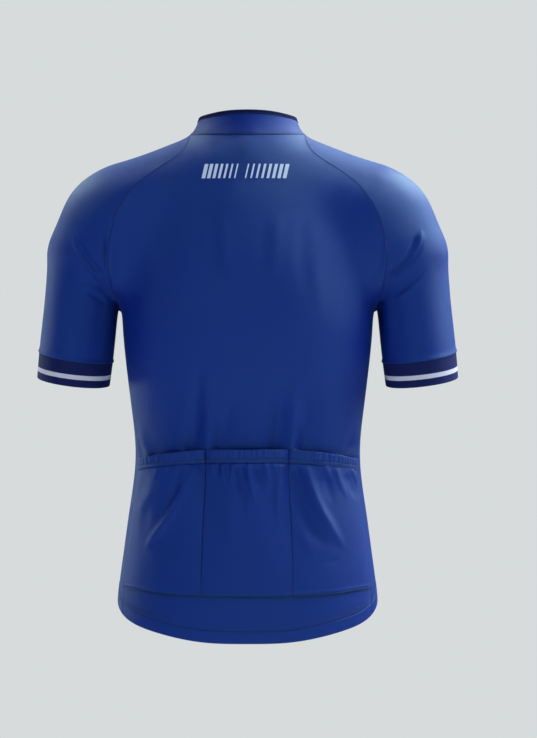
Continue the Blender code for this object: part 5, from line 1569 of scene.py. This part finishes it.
# ================================================================ studio
# Plain pale floor and backdrop, and soft boxes turned to the middle of the jersey. Most of their light comes
# from above and from beyond it, which leaves the back even and its rims brighter.
PALE = (0.680, 0.708, 0.717)
world = bpy.data.worlds.new("studio")
world.use_nodes = True
bpy.context.scene.world = world
sky = world.node_tree
backdrop = sky.nodes["Background"]
backdrop.inputs["Color"].default_value = (*PALE, 1.0)
glow = sky.nodes.new("ShaderNodeBackground")
glow.inputs["Color"].default_value = (0.92, 0.96, 1.0, 1.0)
glow.inputs["Strength"].default_value = 0.02
path = sky.nodes.new("ShaderNodeLightPath")
blend = sky.nodes.new("ShaderNodeMixShader")
sky.links.new(path.outputs["Is Camera Ray"], blend.inputs[0])
sky.links.new(glow.outputs[0], blend.inputs[1])
sky.links.new(backdrop.outputs[0], blend.inputs[2])
sky.links.new(blend.outputs[0], sky.nodes["World Output"].inputs["Surface"])

LIGHT_AIM = Vector((0.0, 0.0, -0.3))
LIGHT_COLOUR = (0.78, 0.93, 1.0)
# Name, x, y, z, size, power
LIGHTS = (
    ("top_right", 1.5, 0.35, 1.9, 1.2, 74), ("key_left", -1.8, -2.4, 1.4, 1.2, 51),
    ("key_right", 1.7, -1.1, 2.1, 1.2, 13), ("rear_right_high", 1.5, 1.5, 1.5, 1.2, 64),
    ("rear_high", 0.0, 1.5, 1.9, 1.4, 14), ("rear_left", -2.2, 1.5, -0.3, 1.2, 20),
    ("low_left", -1.8, -2.4, -0.9, 1.2, 15), ("low_right", 1.8, -2.4, -0.9, 1.2, 26),
    ("side_right", 2.3, -0.2, 1.0, 1.2, 36), ("rear_right", 2.3, 0.7, 0.6, 1.2, 52),
    ("rear_left_high", -1.6, 1.2, 1.4, 1.2, 44),
)
for name, x, y, z, size, power in LIGHTS:
    lamp = bpy.data.lights.new(name, "AREA")
    lamp.size = size
    lamp.energy = power
    lamp.color = LIGHT_COLOUR
    holder = bpy.data.objects.new(name, lamp)
    holder.location = (x, y, z)
    holder.rotation_euler = (LIGHT_AIM - Vector((x, y, z))).to_track_quat("-Z", "Y").to_euler()
    bpy.context.scene.collection.objects.link(holder)

floor_mesh = bpy.data.meshes.new("floor")
floor_mesh.from_pydata([(-3, -3, -1.5), (3, -3, -1.5), (3, 3, -1.5), (-3, 3, -1.5)], [], [(0, 1, 2, 3)])
floor_paint = bpy.data.materials.new("floor")
floor_paint.use_nodes = True
floor_paint.node_tree.nodes["Principled BSDF"].inputs["Base Color"].default_value = (*PALE, 1.0)
floor_mesh.materials.append(floor_paint)
floor = bpy.data.objects.new("floor", floor_mesh)
bpy.context.scene.collection.objects.link(floor)

bpy.context.scene.view_settings.view_transform = "Standard"
camera_data = bpy.data.cameras.new("camera")
camera_data.lens = 117.0
camera_data.sensor_width = 36.0
camera = bpy.data.objects.new("camera", camera_data)
camera.location = (0.0277, -3.2, -0.3106)
camera.rotation_euler = (np.pi / 2, 0.0, 0.0)
bpy.context.scene.collection.objects.link(camera)
bpy.context.scene.camera = camera
